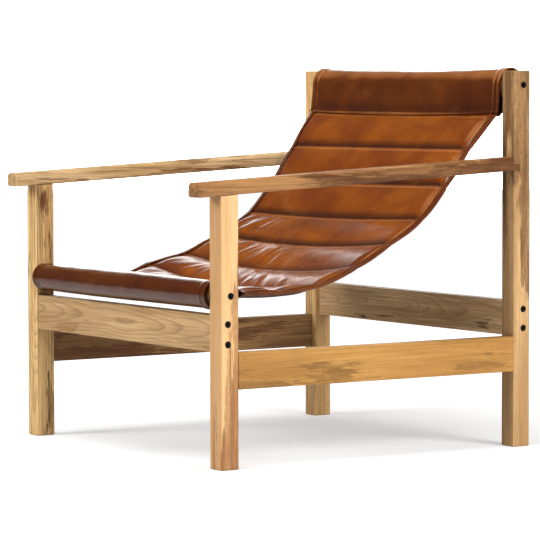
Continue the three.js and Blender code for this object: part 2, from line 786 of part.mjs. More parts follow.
// The sling
addPiece(frame, 'sling_face', slingFace(), leather);
addPiece(frame, 'sling_padding', slingPadding(), wadding);
addPiece(frame, 'sling_backing', slingBacking(), lining);
for (const [name, side] of sides) {
  addPiece(frame, `sling_hem_${name}`, slingHem(side), leather);
}
const seatBarAxis = new THREE.Vector2(seatBarY, seatBarZ);
const topBarAxis = new THREE.Vector2(topBarY, topBarZ);
const frontTangent = slingLine.getTangentAt(0);
const topTangent = slingLine.getTangentAt(1).negate();
addPiece(frame, 'front_sleeve', slingSleeve(seatBarAxis, frontSeam, frontTangent, 1, frontSleeveSlack), leather);
addPiece(frame, 'top_sleeve', slingSleeve(topBarAxis, topSeam, topTangent, -1, 0), leather);

export default chair;
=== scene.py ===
# %% [markdown]
# # A leather sling lounge chair
# The chair is a bolted hardwood frame with a quilted leather sling that hangs between two round bars.
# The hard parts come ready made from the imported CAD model. This script gives them wood and metal
# finishes, builds the sling in the same place as the CAD sling, and sets up light and camera.
# Lengths are in metres, +Z is up, -Y is the way the sitter faces and +X is the near side.

# %% Load the frame
from math import acos, atan2, cos, exp, hypot, pi, sin, tau

import bmesh
import bpy
import numpy as np
from mathutils import Matrix, Vector, noise


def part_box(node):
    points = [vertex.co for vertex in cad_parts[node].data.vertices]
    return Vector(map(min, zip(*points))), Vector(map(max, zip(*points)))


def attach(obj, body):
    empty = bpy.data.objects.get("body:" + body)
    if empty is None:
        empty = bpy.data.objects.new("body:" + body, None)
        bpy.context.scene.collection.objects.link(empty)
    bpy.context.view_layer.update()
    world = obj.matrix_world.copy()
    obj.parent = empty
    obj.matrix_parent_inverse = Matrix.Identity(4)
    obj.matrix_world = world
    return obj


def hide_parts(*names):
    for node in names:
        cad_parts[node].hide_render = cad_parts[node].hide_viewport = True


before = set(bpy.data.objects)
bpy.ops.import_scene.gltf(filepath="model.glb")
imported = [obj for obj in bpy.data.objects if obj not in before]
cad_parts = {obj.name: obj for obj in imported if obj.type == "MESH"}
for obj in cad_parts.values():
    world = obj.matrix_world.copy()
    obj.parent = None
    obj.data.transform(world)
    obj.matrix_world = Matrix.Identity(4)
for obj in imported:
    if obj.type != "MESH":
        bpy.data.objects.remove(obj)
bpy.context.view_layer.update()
scene = bpy.context.scene
MM = 0.001
print("CAD nodes:", len(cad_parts))

# %% [markdown]
# ## Camera
# A camera could be moved by eye until the picture looks right. Here it was solved from the frame's
# straight edges instead: where it stood, how it was turned, and its focal length in pixels of a
# 540 pixel wide picture. So the render can be laid over the photograph to compare the two.

# %% Place the camera
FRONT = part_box("front_leg_left")[0].y
CAMERA_PLACE = Vector((5.4080, -3.1991 + FRONT, 0.7473))
CAMERA_AZIMUTH = 0.9894
CAMERA_ELEVATION = 0.0618
CAMERA_ROLL = -0.0016
FOCAL_PIXELS = 3195.2
IMAGE_PIXELS = 540
SENSOR_MM = 36
VIEW_DEPTH = 50

camera = bpy.data.objects.new("camera", bpy.data.cameras.new("camera"))
camera.data.sensor_width = SENSOR_MM
camera.data.lens = FOCAL_PIXELS / IMAGE_PIXELS * SENSOR_MM
camera.data.clip_end = VIEW_DEPTH
turn = Matrix.Rotation(CAMERA_AZIMUTH, 4, "Z") @ Matrix.Rotation(pi / 2 - CAMERA_ELEVATION, 4, "X")
camera.matrix_world = Matrix.Translation(CAMERA_PLACE) @ turn @ Matrix.Rotation(CAMERA_ROLL, 4, "Z")
scene.collection.objects.link(camera)
scene.camera = camera
print("lens:", round(camera.data.lens, 1), "mm")

# %% [markdown]
# ## Node helpers
# Shader nodes could be placed by hand in the editor. In a script a few small functions do the same:
# they add a node and fill its inputs, open a group with named sockets, and start a material.


# %% Helpers for nodes
def add_node(tree, kind, settings=None, **inputs):
    """Add a node, set its properties, and fill or link its inputs, by name or as i0, i1 and so on."""
    made = tree.nodes.new(kind)
    for key, value in (settings or {}).items():
        setattr(made, key, value)
    for key, value in inputs.items():
        numbered = key[0] == "i" and key[1:].isdigit()
        socket = made.inputs[int(key[1:]) if numbered else key.replace("_", " ")]
        if isinstance(value, bpy.types.NodeSocket):
            tree.links.new(value, socket)
        else:
            socket.default_value = value
    return made


def new_group(name, inputs, outputs):
    """A shader node group with named sockets. Returns the group, its input node and its output node."""
    group = bpy.data.node_groups.new(name, "ShaderNodeTree")
    for label, kind, value in inputs:
        socket = group.interface.new_socket(label, in_out="INPUT", socket_type=kind)
        if value is not None:
            socket.default_value = value
    for label, kind in outputs:
        group.interface.new_socket(label, in_out="OUTPUT", socket_type=kind)
    return group, group.nodes.new("NodeGroupInput"), group.nodes.new("NodeGroupOutput")


def new_material(name):
    made = bpy.data.materials.new(name)
    made.use_nodes = True
    return made, made.node_tree, made.node_tree.nodes["Principled BSDF"]


# %% [markdown]
# Most of a procedural finish is arithmetic. The nodes for it could be made one by one, but a helper
# that returns a node's output lets sums, mixes and noises stand inside one another, as in plain code.


# %% Helpers for sums, mixes and noise
def math(tree, operation, first, second=0.0, clamp=False):
    settings = {"operation": operation, "use_clamp": clamp}
    return add_node(tree, "ShaderNodeMath", settings, i0=first, i1=second).outputs[0]


def mix(tree, factor, first, second):
    """Two colours mixed. The node's colour sockets are inputs 6 and 7 and output 2."""
    made = add_node(tree, "ShaderNodeMix", {"data_type": "RGBA"}, i0=factor, i6=first, i7=second)
    return made.outputs[2]


def spread(tree, value, low, high, to_low=0.0, to_high=1.0):
    """Map value from low..high to to_low..to_high, with soft ends."""
    made = add_node(tree, "ShaderNodeMapRange", {"interpolation_type": "SMOOTHSTEP"})
    tree.links.new(value, made.inputs["Value"])
    for label, number in (("From Min", low), ("From Max", high), ("To Min", to_low), ("To Max", to_high)):
        made.inputs[label].default_value = number
    return made.outputs[0]


def scaled(tree, vector, scale):
    made = add_node(tree, "ShaderNodeVectorMath", {"operation": "MULTIPLY"}, i0=vector, i1=scale)
    return made.outputs[0]


def vector_sum(tree, first, second):
    return add_node(tree, "ShaderNodeVectorMath", {"operation": "ADD"}, i0=first, i1=second).outputs[0]


def noise_value(tree, vector, scale, detail=3.0, roughness=0.5, distortion=0.0):
    settings = {"noise_dimensions": "3D"}
    made = add_node(tree, "ShaderNodeTexNoise", settings, Vector=vector, Scale=scale, Detail=detail)
    made.inputs["Roughness"].default_value = roughness
    made.inputs["Distortion"].default_value = distortion
    return made.outputs[0]


# %% [markdown]
# ## Wood
# The frame is rough light hardwood with brown heartwood. A picture of boards could be wrapped round
# each timber, but it would stretch and repeat. A pattern worked out in three dimensions runs through
# a timber as real grain does, so the figure meets at every edge. Growth rings lie round an axis near
# the timber and lean a little, so they cut its faces in long arches. Fibres, veins and pores are
# noise drawn out along the grain, which is Z in the group.

# %% Open the wood group
wood_group, wood_in, wood_out = new_group(
    "wood grain",
    [
        ("Vector", "NodeSocketVector", None),
        ("Seed", "NodeSocketFloat", 0.0),
        ("Light", "NodeSocketColor", None),
        ("Dark", "NodeSocketColor", None),
        ("Heart", "NodeSocketColor", None),
        ("Patches", "NodeSocketFloat", 0.5),
        ("Rings", "NodeSocketFloat", 0.5),
        ("Streaks", "NodeSocketFloat", 0.5),
        ("Slope", "NodeSocketFloat", 0.0),
        ("Lean", "NodeSocketFloat", 0.0),
        ("Front Shade", "NodeSocketFloat", 0.0),
    ],
    [("Color", "NodeSocketColor"), ("Roughness", "NodeSocketFloat"), ("Height", "NodeSocketFloat")],
)
print("wood group sockets:", len(wood_group.interface.items_tree))

# %% Draw the rings and the noise along the grain
# Cells per metre (across, across, along the grain), detail, roughness and distortion.
GRAIN_NOISES = {
    "fibre": ((520, 520, 8), 4.0, 0.65, 0.0),
    "band": ((42, 42, 2.2), 4.0, 0.6, 0.8),
    "cloud": ((9, 9, 3.5), 2.0, 0.5, 0.0),
    "dash": ((520, 520, 42), 2.0, 0.5, 0.0),
    "vein": ((120, 120, 3.2), 3.0, 0.6, 0.5),
    "pore": ((1000, 1000, 34), 1.0, 0.5, 0.0),
    "patch": ((27, 27, 4.2), 3.0, 0.5, 0.6),
    "ragged": ((170, 170, 11), 3.0, 0.6, 0.0),
    "depth": ((70, 70, 6), 3.0, 0.6, 0.0),
    "mottle": ((330, 330, 95), 4.0, 0.7, 0.0),
    "line": ((260, 260, 4), 2.0, 0.5, 0.3),
}
RINGS_PER_METRE = 300.0
RING_WANDER_CELLS = (7, 7, 2.6)
RING_WANDER = (34 * MM, 34 * MM, 0.0)
RING_LEAN = 0.035
PITH_ACROSS = 6 * MM
PITH_DEPTH = 28 * MM


def grain_noise(tree, seeded, name):
    cells, detail, roughness, distortion = GRAIN_NOISES[name]
    return noise_value(tree, scaled(tree, seeded, cells), 1.0, detail, roughness, distortion)


def ring_pattern(tree, place, seeded):
    """Growth rings round a leaning axis: 0 in the early wood, rising to 1 at the end of each ring."""
    cells = scaled(tree, seeded, RING_WANDER_CELLS)
    wander = add_node(tree, "ShaderNodeTexNoise", None, Vector=cells, Scale=1.0, Detail=2.0)
    centred = vector_sum(tree, wander.outputs[1], (-0.5, -0.5, -0.5))
    bent = vector_sum(tree, place, scaled(tree, centred, RING_WANDER))
    parts = add_node(tree, "ShaderNodeSeparateXYZ", None, Vector=bent)
    across = math(tree, "ADD", parts.outputs[0], -PITH_ACROSS)
    lean = math(tree, "MULTIPLY", parts.outputs[2], RING_LEAN)
    deep = math(tree, "ADD", math(tree, "ADD", parts.outputs[1], -PITH_DEPTH), lean)
    square = math(tree, "ADD", math(tree, "MULTIPLY", across, across), math(tree, "MULTIPLY", deep, deep))
    turns = math(tree, "MULTIPLY", math(tree, "SQRT", square), RINGS_PER_METRE)
    ring = math(tree, "FRACT", turns)
    return math(tree, "MULTIPLY", math(tree, "POWER", ring, 3.0), spread(tree, ring, 0.86, 1.0, 1.0, 0.0))


print("noises in the wood:", len(GRAIN_NOISES))

# %% [markdown]
# Heartwood starts where a slow noise stands over a level. Sharper noises are added to it first, so the border
# runs ragged along the grain as it does where a board was sawn through the heart. Slope and Lean let the
# patches gather at one end or one side, and Front paints shade on a leg's front face, in the heartwood
# colour.

# %% Find the heartwood and colour the board
HEART_LEVEL = 0.92
HEART_SPAN = 0.26
RAGGED_SHARE = 0.26
DASH_SHARE = 0.20
LEAN_START = 4 * MM
LEG_HALF = (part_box("front_leg_left")[1].y - FRONT) / 2
LEG_FRONT = (0.3 * MM - LEG_HALF, 2 * MM - LEG_HALF)


def heart_height(tree, given, noises, parts):
    """How far the patch noise stands over the level where heartwood starts."""
    sideways = math(tree, "ADD", parts.outputs[1], LEAN_START)
    patch = noises["patch"]
    for value, share in (
        (noises["ragged"], RAGGED_SHARE),
        (noises["dash"], DASH_SHARE),
        (parts.outputs[2], given.outputs["Slope"]),
        (sideways, given.outputs["Lean"]),
    ):
        patch = math(tree, "ADD", patch, math(tree, "MULTIPLY", value, share))
    level = math(tree, "SUBTRACT", HEART_LEVEL, math(tree, "MULTIPLY", given.outputs["Patches"], HEART_SPAN))
    return math(tree, "SUBTRACT", patch, level)


def board_colour(tree, given, noises, parts, above):
    """Sapwood in two tones, the heartwood over it, and painted shade on the front face where Front asks for
    it.
    """
    slow = math(tree, "MULTIPLY", noises["cloud"], 0.4)
    tone = math(tree, "ADD", math(tree, "MULTIPLY", noises["band"], 0.6), slow)
    colour = mix(tree, spread(tree, tone, 0.38, 0.62), given.outputs["Light"], given.outputs["Dark"])
    depth = spread(tree, noises["depth"], 0.35, 0.62, 0.45, 0.95)
    # Painted shade: a leg's front face is darkened towards the heartwood colour.
    front = spread(tree, parts.outputs[1], *LEG_FRONT, 1.0, 0.0)
    for mask, share in ((spread(tree, above, -0.015, 0.04), depth), (front, given.outputs["Front Shade"])):
        colour = mix(tree, math(tree, "MULTIPLY", mask, share), colour, given.outputs["Heart"])
    return colour


print("half of a leg:", round(LEG_HALF / MM, 1), "mm")

# %% [markdown]
# The figure of a sawn board is many kinds of darker line: rings, veins, fibres and pores. One drawing
# could hold them all, but as layers each keeps its own strength, and a timber can have more of one and
# less of another. The order counts, because each layer lies over the last.

# %% Lay the figure over the board
INK = (0.02, 0.01, 0.005, 1)


def figured_colour(tree, given, noises, colour, above, ring, pores):
    """Rings, veins, mottle, patch borders, lines, fibres, dashes and pores, each laid over the last."""
    heart, patches, streaks = (given.outputs[label] for label in ("Heart", "Patches", "Streaks"))
    umber = mix(tree, 0.6, heart, INK)
    rings = math(tree, "MULTIPLY", math(tree, "MULTIPLY", ring, given.outputs["Rings"]), 0.75)
    veins = math(tree, "MULTIPLY", spread(tree, noises["vein"], 0.50, 0.64), streaks)
    mottle = spread(tree, noises["mottle"], 0.48, 0.62)
    mottle = math(tree, "MULTIPLY", mottle, spread(tree, above, -0.12, 0.06))
    border = math(tree, "ABSOLUTE", math(tree, "ADD", above, -0.006))
    border = spread(tree, border, 0.0, 0.016, 1.0, 0.0)
    line_share = math(tree, "ADD", math(tree, "MULTIPLY", streaks, 0.45), 0.06)
    layers = (
        (rings, umber),
        (math(tree, "MULTIPLY", veins, 0.8), heart),
        (math(tree, "MULTIPLY", mottle, patches, clamp=True), heart),
        (math(tree, "MULTIPLY", border, math(tree, "MULTIPLY", patches, 0.8)), umber),
        (math(tree, "MULTIPLY", spread(tree, noises["line"], 0.54, 0.64), line_share), heart),
        (math(tree, "MULTIPLY", spread(tree, noises["fibre"], 0.38, 0.72), line_share), umber),
        (math(tree, "MULTIPLY", spread(tree, noises["dash"], 0.60, 0.72), line_share), umber),
        (math(tree, "MULTIPLY", pores, 0.35), umber),
    )
    for share, over in layers:
        colour = mix(tree, share, colour, over)
    return colour


def build_wood_group(tree, given, result):
    place, seed = given.outputs["Vector"], given.outputs["Seed"]
    shift = add_node(tree, "ShaderNodeCombineXYZ", None, X=seed, Y=seed, Z=seed)
    seeded = vector_sum(tree, place, shift.outputs[0])
    noises = {name: grain_noise(tree, seeded, name) for name in GRAIN_NOISES}
    parts = add_node(tree, "ShaderNodeSeparateXYZ", None, Vector=place)
    pores = spread(tree, noises["pore"], 0.62, 0.72)
    above = heart_height(tree, given, noises, parts)
    colour = board_colour(tree, given, noises, parts, above)
    colour = figured_colour(tree, given, noises, colour, above, ring_pattern(tree, place, seeded), pores)
    height = math(tree, "SUBTRACT", math(tree, "MULTIPLY", noises["fibre"], 0.5), pores)
    tree.links.new(colour, result.inputs["Color"])
    tree.links.new(spread(tree, noises["fibre"], 0.3, 0.8, 0.48, 0.68), result.inputs["Roughness"])
    tree.links.new(height, result.inputs["Height"])


build_wood_group(wood_group, wood_in, wood_out)
print("nodes in the wood group:", len(wood_group.nodes))

# %% [markdown]
# The twelve timbers could share one material, but on the real chair each was sawn from its own
# board. So each timber has its own colours and shares, and its own seed moves it to another place in
# the pattern. The colours are written as they look on a screen.


# %% Make a timber's material
def on_screen(red, green, blue):
    """A colour as a screen shows it, turned into the linear values that shaders use."""
    return (*[((value / 255 + 0.055) / 1.055) ** 2.4 for value in (red, green, blue)], 1.0)


GRAIN_TURNS = {"z": (0, 0, 0), "y": (pi / 2, 0, 0), "x": (0, pi / 2, 0)}
COLOUR_SOCKETS = ("Light", "Dark", "Heart")
SHARE_SOCKETS = ("Patches", "Rings", "Streaks", "Slope", "Lean", "Front Shade")
WOOD_GLOSS = 0.35


def wood_material(name, node, grain, seed, colours, shares):
    made, tree, surface = new_material(name)
    place = add_node(tree, "ShaderNodeTexCoord").outputs["Object"]
    centre = sum(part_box(node), Vector()) / 2
    moved = vector_sum(tree, place, -centre)
    turned = add_node(tree, "ShaderNodeMapping", None, Vector=moved, Rotation=GRAIN_TURNS[grain])
    group = add_node(tree, "ShaderNodeGroup", {"node_tree": wood_group}, Vector=turned.outputs[0], Seed=seed)
    for label, colour in zip(COLOUR_SOCKETS, colours):
        group.inputs[label].default_value = on_screen(*colour)
    for label, share in zip(SHARE_SOCKETS, shares):
        group.inputs[label].default_value = share
    height = group.outputs["Height"]
    raised = add_node(tree, "ShaderNodeBump", None, Strength=0.3, Distance=0.0005, Height=height)
    tree.links.new(group.outputs["Color"], surface.inputs["Base Color"])
    tree.links.new(group.outputs["Roughness"], surface.inputs["Roughness"])
    tree.links.new(raised.outputs[0], surface.inputs["Normal"])
    surface.inputs["Specular IOR Level"].default_value = WOOD_GLOSS
    return made


# %% [markdown]
# A board's light and dark sapwood and its heartwood are three tones. One set for the whole frame
# would look dyed, so every timber has a set of its own. The tones were tried in renders until each
# board looked right in the studio's light.

# %% Finish the timbers
PEACH, SAND = (238, 194, 140), (224, 178, 122)
ASH, GREY_ASH = (230, 196, 146), (196, 160, 110)
# OLIVE is paler than the far legs' wood. It is painted light that lifts them out of the shade they stand in.
OLIVE, DARK_OLIVE = (248, 208, 144), (214, 170, 110)
STRAW, DARK_STRAW = (224, 182, 124), (190, 148, 96)
# DRAB is paler than the back rail's wood. It is painted light that lifts it out of the sling's shadow.
DRAB, DARK_DRAB = (246, 206, 154), (212, 168, 118)
CHESTNUT, DARK_CHESTNUT = (184, 134, 84), (142, 98, 58)
WALNUT, DARK_WALNUT = (188, 144, 94), (136, 98, 60)
FAWN, DARK_FAWN = (210, 169, 116), (184, 142, 94)
HONEY, DARK_HONEY = (204, 152, 82), (176, 126, 64)
LINEN, DARK_LINEN = (206, 170, 122), (178, 142, 98)
HEARTWOOD, UMBER, COCOA = (156, 106, 64), (98, 60, 32), (88, 52, 28)
BARK, MOSS, HAZEL = (116, 82, 50), (140, 100, 52), (150, 108, 62)
# Each timber's grain axis, seed, colours (light, dark, heart) and shares, in the order of the sockets.
TIMBERS = {
    "front_leg_left": ("z", 3.1, (PEACH, SAND, HEARTWOOD), (0.34, 0.08, 0.10, -1.3, 16.0, 0.42)),
    "front_leg_right": ("z", 7.4, (OLIVE, DARK_OLIVE, UMBER), (0.42, 0.60, 0.60)),
    "rear_leg_left": ("z", 21.7, (FAWN, DARK_FAWN, BARK), (0.64, 0.15, 0.30, 1.1, 6.0)),
    "rear_leg_right": ("z", 9.2, (OLIVE, DARK_OLIVE, HEARTWOOD), (0.30, 0.50, 0.60)),
    "side_rail_left": ("y", 5.3, (HONEY, DARK_HONEY, MOSS), (0.50, 0.40, 0.30)),
    "side_rail_right": ("y", 8.8, (WALNUT, DARK_WALNUT, UMBER), (0.50, 0.60, 0.55, -0.15)),
    "front_rail": ("x", 2.6, (LINEN, DARK_LINEN, HAZEL), (0.20, 0.9, 0.35)),
    "back_rail": ("x", 6.1, (DRAB, DARK_DRAB, UMBER), (0.10, 0.55, 0.30)),
    "armrest_left": ("y", 4.9, (CHESTNUT, DARK_CHESTNUT, COCOA), (0.72, 0.20, 0.50, 0.25)),
    "armrest_right": ("y", 12.3, (ASH, GREY_ASH, UMBER), (0.45, 0.35, 0.60)),
    "seat_bar": ("x", 10.4, (DARK_WALNUT, HEARTWOOD, UMBER), (0.10, 0.30, 0.30)),
    "top_bar": ("x", 11.5, (DARK_WALNUT, HEARTWOOD, UMBER), (0.10, 0.30, 0.30)),
}
for name, look in TIMBERS.items():
    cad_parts[name].data.materials.clear()
    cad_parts[name].data.materials.append(wood_material(name, name, *look))
DOWEL_LOOK = ("z", 13.0, (STRAW, DARK_STRAW, HEARTWOOD), (0.1, 0.2, 0.1))
dowel_wood = wood_material("dowel_wood", "armrest_dowel_front_left", *DOWEL_LOOK)
print("timbers finished:", len(TIMBERS))

# %% [markdown]
# ## Metal
# The bolts are black oxide steel, and the nuts and inserts are zinc plated. One plain colour would
# look like plastic, so a noise rubs small bright places into it and another makes the gloss uneven.


# %% Finish the fixings
def metal_material(name, dark, light, metallic, roughness):
    made, tree, surface = new_material(name)
    place = add_node(tree, "ShaderNodeTexCoord").outputs["Object"]
    rub = noise_value(tree, place, 350.0, 4.0)
    fine = noise_value(tree, place, 2600.0, 2.0)
    tree.links.new(mix(tree, spread(tree, rub, 0.5, 0.75), dark, light), surface.inputs["Base Color"])
    uneven = spread(tree, fine, 0.2, 0.8, roughness - 0.08, roughness + 0.1)
    tree.links.new(uneven, surface.inputs["Roughness"])
    surface.inputs["Metallic"].default_value = metallic
    raised = add_node(tree, "ShaderNodeBump", None, Strength=0.15, Distance=0.0002, Height=fine)
    tree.links.new(raised.outputs[0], surface.inputs["Normal"])
    return made


black_steel = metal_material("black_steel", (0.012, 0.011, 0.010, 1), (0.05, 0.047, 0.045, 1), 0.6, 0.5)
zinc_steel = metal_material("zinc_steel", (0.50, 0.50, 0.52, 1), (0.66, 0.66, 0.68, 1), 1.0, 0.35)
FIXINGS = {"_bolt": black_steel, "_nut_": zinc_steel, "_insert_": zinc_steel, "_dowel_": dowel_wood}
for word, finish in FIXINGS.items():
    fixings = [piece for name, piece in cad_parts.items() if word in name]
    for piece in fixings:
        piece.data.materials.clear()
        piece.data.materials.append(finish)
    print(finish.name, "on", len(fixings), "fixings")

# %% [markdown]
# ## Leather
# The sling is waxed cognac leather. It could be one brown with a bump map, but real hide is cloudy, brushed
# and scratched. So cloudy colour and brushed streaks lie over a fine pebbled grain, and a vertex attribute
# called shade, which the meshes get further down, paints shade into the creases and seams and paints
# highlights on the crests.

# %% Make the leather group
leather_group, leather_in, leather_out = new_group(
    "leather hide",
    [
        ("Vector", "NodeSocketVector", None),
        ("Shade", "NodeSocketFloat", 0.5),
        ("Depth", "NodeSocketFloat", 0.0),
    ],
    [("Color", "NodeSocketColor"), ("Roughness", "NodeSocketFloat"), ("Height", "NodeSocketFloat")],
)
TAN_HIDE, SADDLE_HIDE = (0.285, 0.073, 0.005, 1), (0.203, 0.047, 0.004, 1)
COGNAC_HIDE, DEEP_HIDE = (0.150, 0.032, 0.004, 1), (0.044, 0.009, 0.003, 1)
# Of the next three colours, the first is painted shade and the second a painted highlight. The shade
# attribute lays both on, and the third is scratches.
SHADE_BROWN, HIGHLIGHT_TAN, SCRATCHED = (0.030, 0.008, 0.004, 1), (0.470, 0.180, 0.055, 1), (0.50, 0.20, 0.06, 1)
BRUSH_TURN, BRUSH_CELLS = (0.5, 0.3, 0.6), (9, 34, 9)
SCRATCH_TURN, SCRATCH_CELLS = (0.2, -0.4, -0.5), (14, 90, 14)
PEBBLES_PER_METRE = 850.0


def build_leather_group(tree, given, result):
    place = given.outputs["Vector"]
    cloud = noise_value(tree, scaled(tree, place, (7, 7, 7)), 1.0, 4.0, 0.55, 0.4)
    tilted = add_node(tree, "ShaderNodeMapping", None, Vector=place, Rotation=BRUSH_TURN, Scale=BRUSH_CELLS)
    brush = noise_value(tree, tilted.outputs[0], 1.0, 4.0, 0.6, 0.3)
    turned = {"Rotation": SCRATCH_TURN, "Scale": SCRATCH_CELLS}
    crossed = add_node(tree, "ShaderNodeMapping", None, Vector=place, **turned)
    scratch = spread(tree, noise_value(tree, crossed.outputs[0], 1.0, 3.0, 0.5, 0.2), 0.60, 0.72)
    pebble = {"feature": "DISTANCE_TO_EDGE"}
    cell = add_node(tree, "ShaderNodeTexVoronoi", pebble, Vector=place, Scale=PEBBLES_PER_METRE)
    grain = spread(tree, cell.outputs[0], 0.0, 0.25)
    fine = noise_value(tree, place, 1400.0, 3.0)
    tan = mix(tree, spread(tree, brush, 0.3, 0.7), TAN_HIDE, SADDLE_HIDE)
    cognac = mix(tree, spread(tree, cloud, 0.35, 0.68), tan, COGNAC_HIDE)
    deep = mix(tree, given.outputs["Depth"], cognac, DEEP_HIDE)
    # Low shade mixes in the painted shade colour, and high shade mixes in the painted highlight colour with
    # more scratches.
    dark_share = spread(tree, given.outputs["Shade"], 0.05, 0.5, 0.85, 0.0)
    colour = mix(tree, dark_share, deep, SHADE_BROWN)
    light_share = spread(tree, given.outputs["Shade"], 0.55, 1.0, 0.0, 0.5)
    colour = mix(tree, light_share, colour, HIGHLIGHT_TAN)
    scratch_share = math(tree, "ADD", math(tree, "MULTIPLY", light_share, 0.5), 0.05)
    colour = mix(tree, math(tree, "MULTIPLY", scratch, scratch_share), colour, SCRATCHED)
    tree.links.new(colour, result.inputs["Color"])
    tree.links.new(spread(tree, brush, 0.25, 0.8, 0.15, 0.30), result.inputs["Roughness"])
    height = math(tree, "ADD", math(tree, "MULTIPLY", grain, 0.6), math(tree, "MULTIPLY", fine, 0.4))
    tree.links.new(height, result.inputs["Height"])


build_leather_group(leather_group, leather_in, leather_out)
print("nodes in the leather group:", len(leather_group.nodes))

# %% [markdown]
# The same hide is waxed darker on the sleeves and the hems than on the panel. Each leather could be
# drawn for itself, but then their grain would differ, so one function makes all four from the group
# and a depth. A thin clear coat stands for the wax, and it gives the sharp glints.

# %% Wax the leathers
LEATHER_GLOSS = 0.38
WAX_COAT = 0.15
WAX_ROUGHNESS = 0.12


def leather_material(name, depth):
    """Depth is how far the hide was waxed down towards its darkest brown."""
    made, tree, surface = new_material(name)
    place = add_node(tree, "ShaderNodeTexCoord").outputs["Object"]
    shade = add_node(tree, "ShaderNodeAttribute", {"attribute_name": "shade"}).outputs["Fac"]
    hide = {"node_tree": leather_group}
    group = add_node(tree, "ShaderNodeGroup", hide, Vector=place, Shade=shade, Depth=depth)
    height = group.outputs["Height"]
    raised = add_node(tree, "ShaderNodeBump", None, Strength=0.08, Distance=0.0003, Height=height)
    tree.links.new(group.outputs["Color"], surface.inputs["Base Color"])
    tree.links.new(group.outputs["Roughness"], surface.inputs["Roughness"])
    tree.links.new(raised.outputs[0], surface.inputs["Normal"])
    surface.inputs["Specular IOR Level"].default_value = LEATHER_GLOSS
    surface.inputs["Coat Weight"].default_value = WAX_COAT
    surface.inputs["Coat Roughness"].default_value = WAX_ROUGHNESS
    return made


panel_leather = leather_material("panel_leather", 0.0)
sleeve_leather = leather_material("sleeve_leather", 0.66)
roll_leather = leather_material("roll_leather", 0.80)
edge_leather = leather_material("edge_leather", 0.50)
print("leathers:", panel_leather.name, sleeve_leather.name, roll_leather.name, edge_leather.name)

# %% [markdown]
# The stitches are waxed thread, and the back of the sling is lined with brown cloth. The cloth's weave
# is two sets of waves multiplied, which is enough for a fabric that is only seen from behind.


# %% Make the thread and the lining
THREADS_PER_METRE = 260.0


def thread_material():
    made, tree, surface = new_material("thread")
    place = add_node(tree, "ShaderNodeTexCoord").outputs["Object"]
    ply = noise_value(tree, place, 1800.0, 2.0)
    tree.links.new(mix(tree, ply, (0.30, 0.13, 0.05, 1), (0.16, 0.06, 0.02, 1)), surface.inputs["Base Color"])
    tree.links.new(spread(tree, ply, 0.2, 0.8, 0.5, 0.75), surface.inputs["Roughness"])
    return made


def lining_material():
    made, tree, surface = new_material("lining")
    place = add_node(tree, "ShaderNodeTexCoord").outputs["Object"]
    across, along = (
        add_node(tree, "ShaderNodeTexWave", {"bands_direction": axis}, Vector=place, Scale=THREADS_PER_METRE)
        for axis in ("X", "Y")
    )
    weave = math(tree, "MULTIPLY", across.outputs[1], along.outputs[1])
    cloud = noise_value(tree, place, 12.0, 3.0)
    base = mix(tree, cloud, (0.105, 0.050, 0.028, 1), (0.070, 0.032, 0.018, 1))
    woven = mix(tree, math(tree, "MULTIPLY", weave, 0.35), base, (0.20, 0.10, 0.06, 1))
    tree.links.new(woven, surface.inputs["Base Color"])
    tree.links.new(spread(tree, weave, 0.0, 1.0, 0.85, 0.7), surface.inputs["Roughness"])
    raised = add_node(tree, "ShaderNodeBump", None, Strength=0.4, Distance=0.0003, Height=weave)
    tree.links.new(raised.outputs[0], surface.inputs["Normal"])
    return made


thread = thread_material()
lining = lining_material()
print("materials:", len(bpy.data.materials))

# %% [markdown]
# ## The line of the sling
# From the side the sling hangs along one smooth curve between two seams. A chain curve would be the
# shape of an empty cloth, but this one bends at its padded channels. So the curve runs through the
# places of the sewn creases, given as shares of the run and the rise between the seams, as in the
# CAD model, and everything on the sling is placed by its length along that curve.

# %% Trace the sling's line
SEAT_BAR = sum(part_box("seat_bar"), Vector()) / 2
TOP_BAR = sum(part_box("top_bar"), Vector()) / 2
BAR_RADIUS = (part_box("seat_bar")[1].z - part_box("seat_bar")[0].z) / 2
HALF_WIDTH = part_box("front_sleeve")[1].x
FRONT_SEAM = Vector((SEAT_BAR.y + 52.6 * MM, SEAT_BAR.z + 2 * MM))
TOP_SEAM = Vector((TOP_BAR.y - 33 * MM, TOP_BAR.z - 57.5 * MM))
CREASE_SHARES = [
    (0.16, 0.009), (0.309, 0.04), (0.453, 0.119), (0.575, 0.227),
    (0.705, 0.367), (0.812, 0.579), (0.895, 0.782),
]
CHANNELS = 8
TAIL = 7 * MM
GAP = 0.3 * MM


def smooth_line(points, steps=60):
    """Points along a smooth cubic curve through the given ones, the same curve as in the CAD model."""
    ends = [points[0], *points, points[-1]]
    line = []
    for before, start, end, after in zip(ends, ends[1:], ends[2:], ends[3:]):
        for step in range(steps):
            t = step / steps
            first, second = (end - before) / 2, (after - start) / 2
            line.append(
                start * (2 * t**3 - 3 * t**2 + 1)
                + first * (t**3 - 2 * t**2 + t)
                + end * (3 * t**2 - 2 * t**3)
                + second * (t**3 - t**2)
            )
    return np.array([*line, points[-1]])


# %% [markdown]
# A point on the sling is named by its length along the line, as a tape laid on the leather would
# measure it. The curve's own parameter would be at hand, but it runs faster on long stretches than on
# short ones, so the curve is measured once and line_at looks a length up. The small helpers after it
# fade one form into the next and make it uneven.

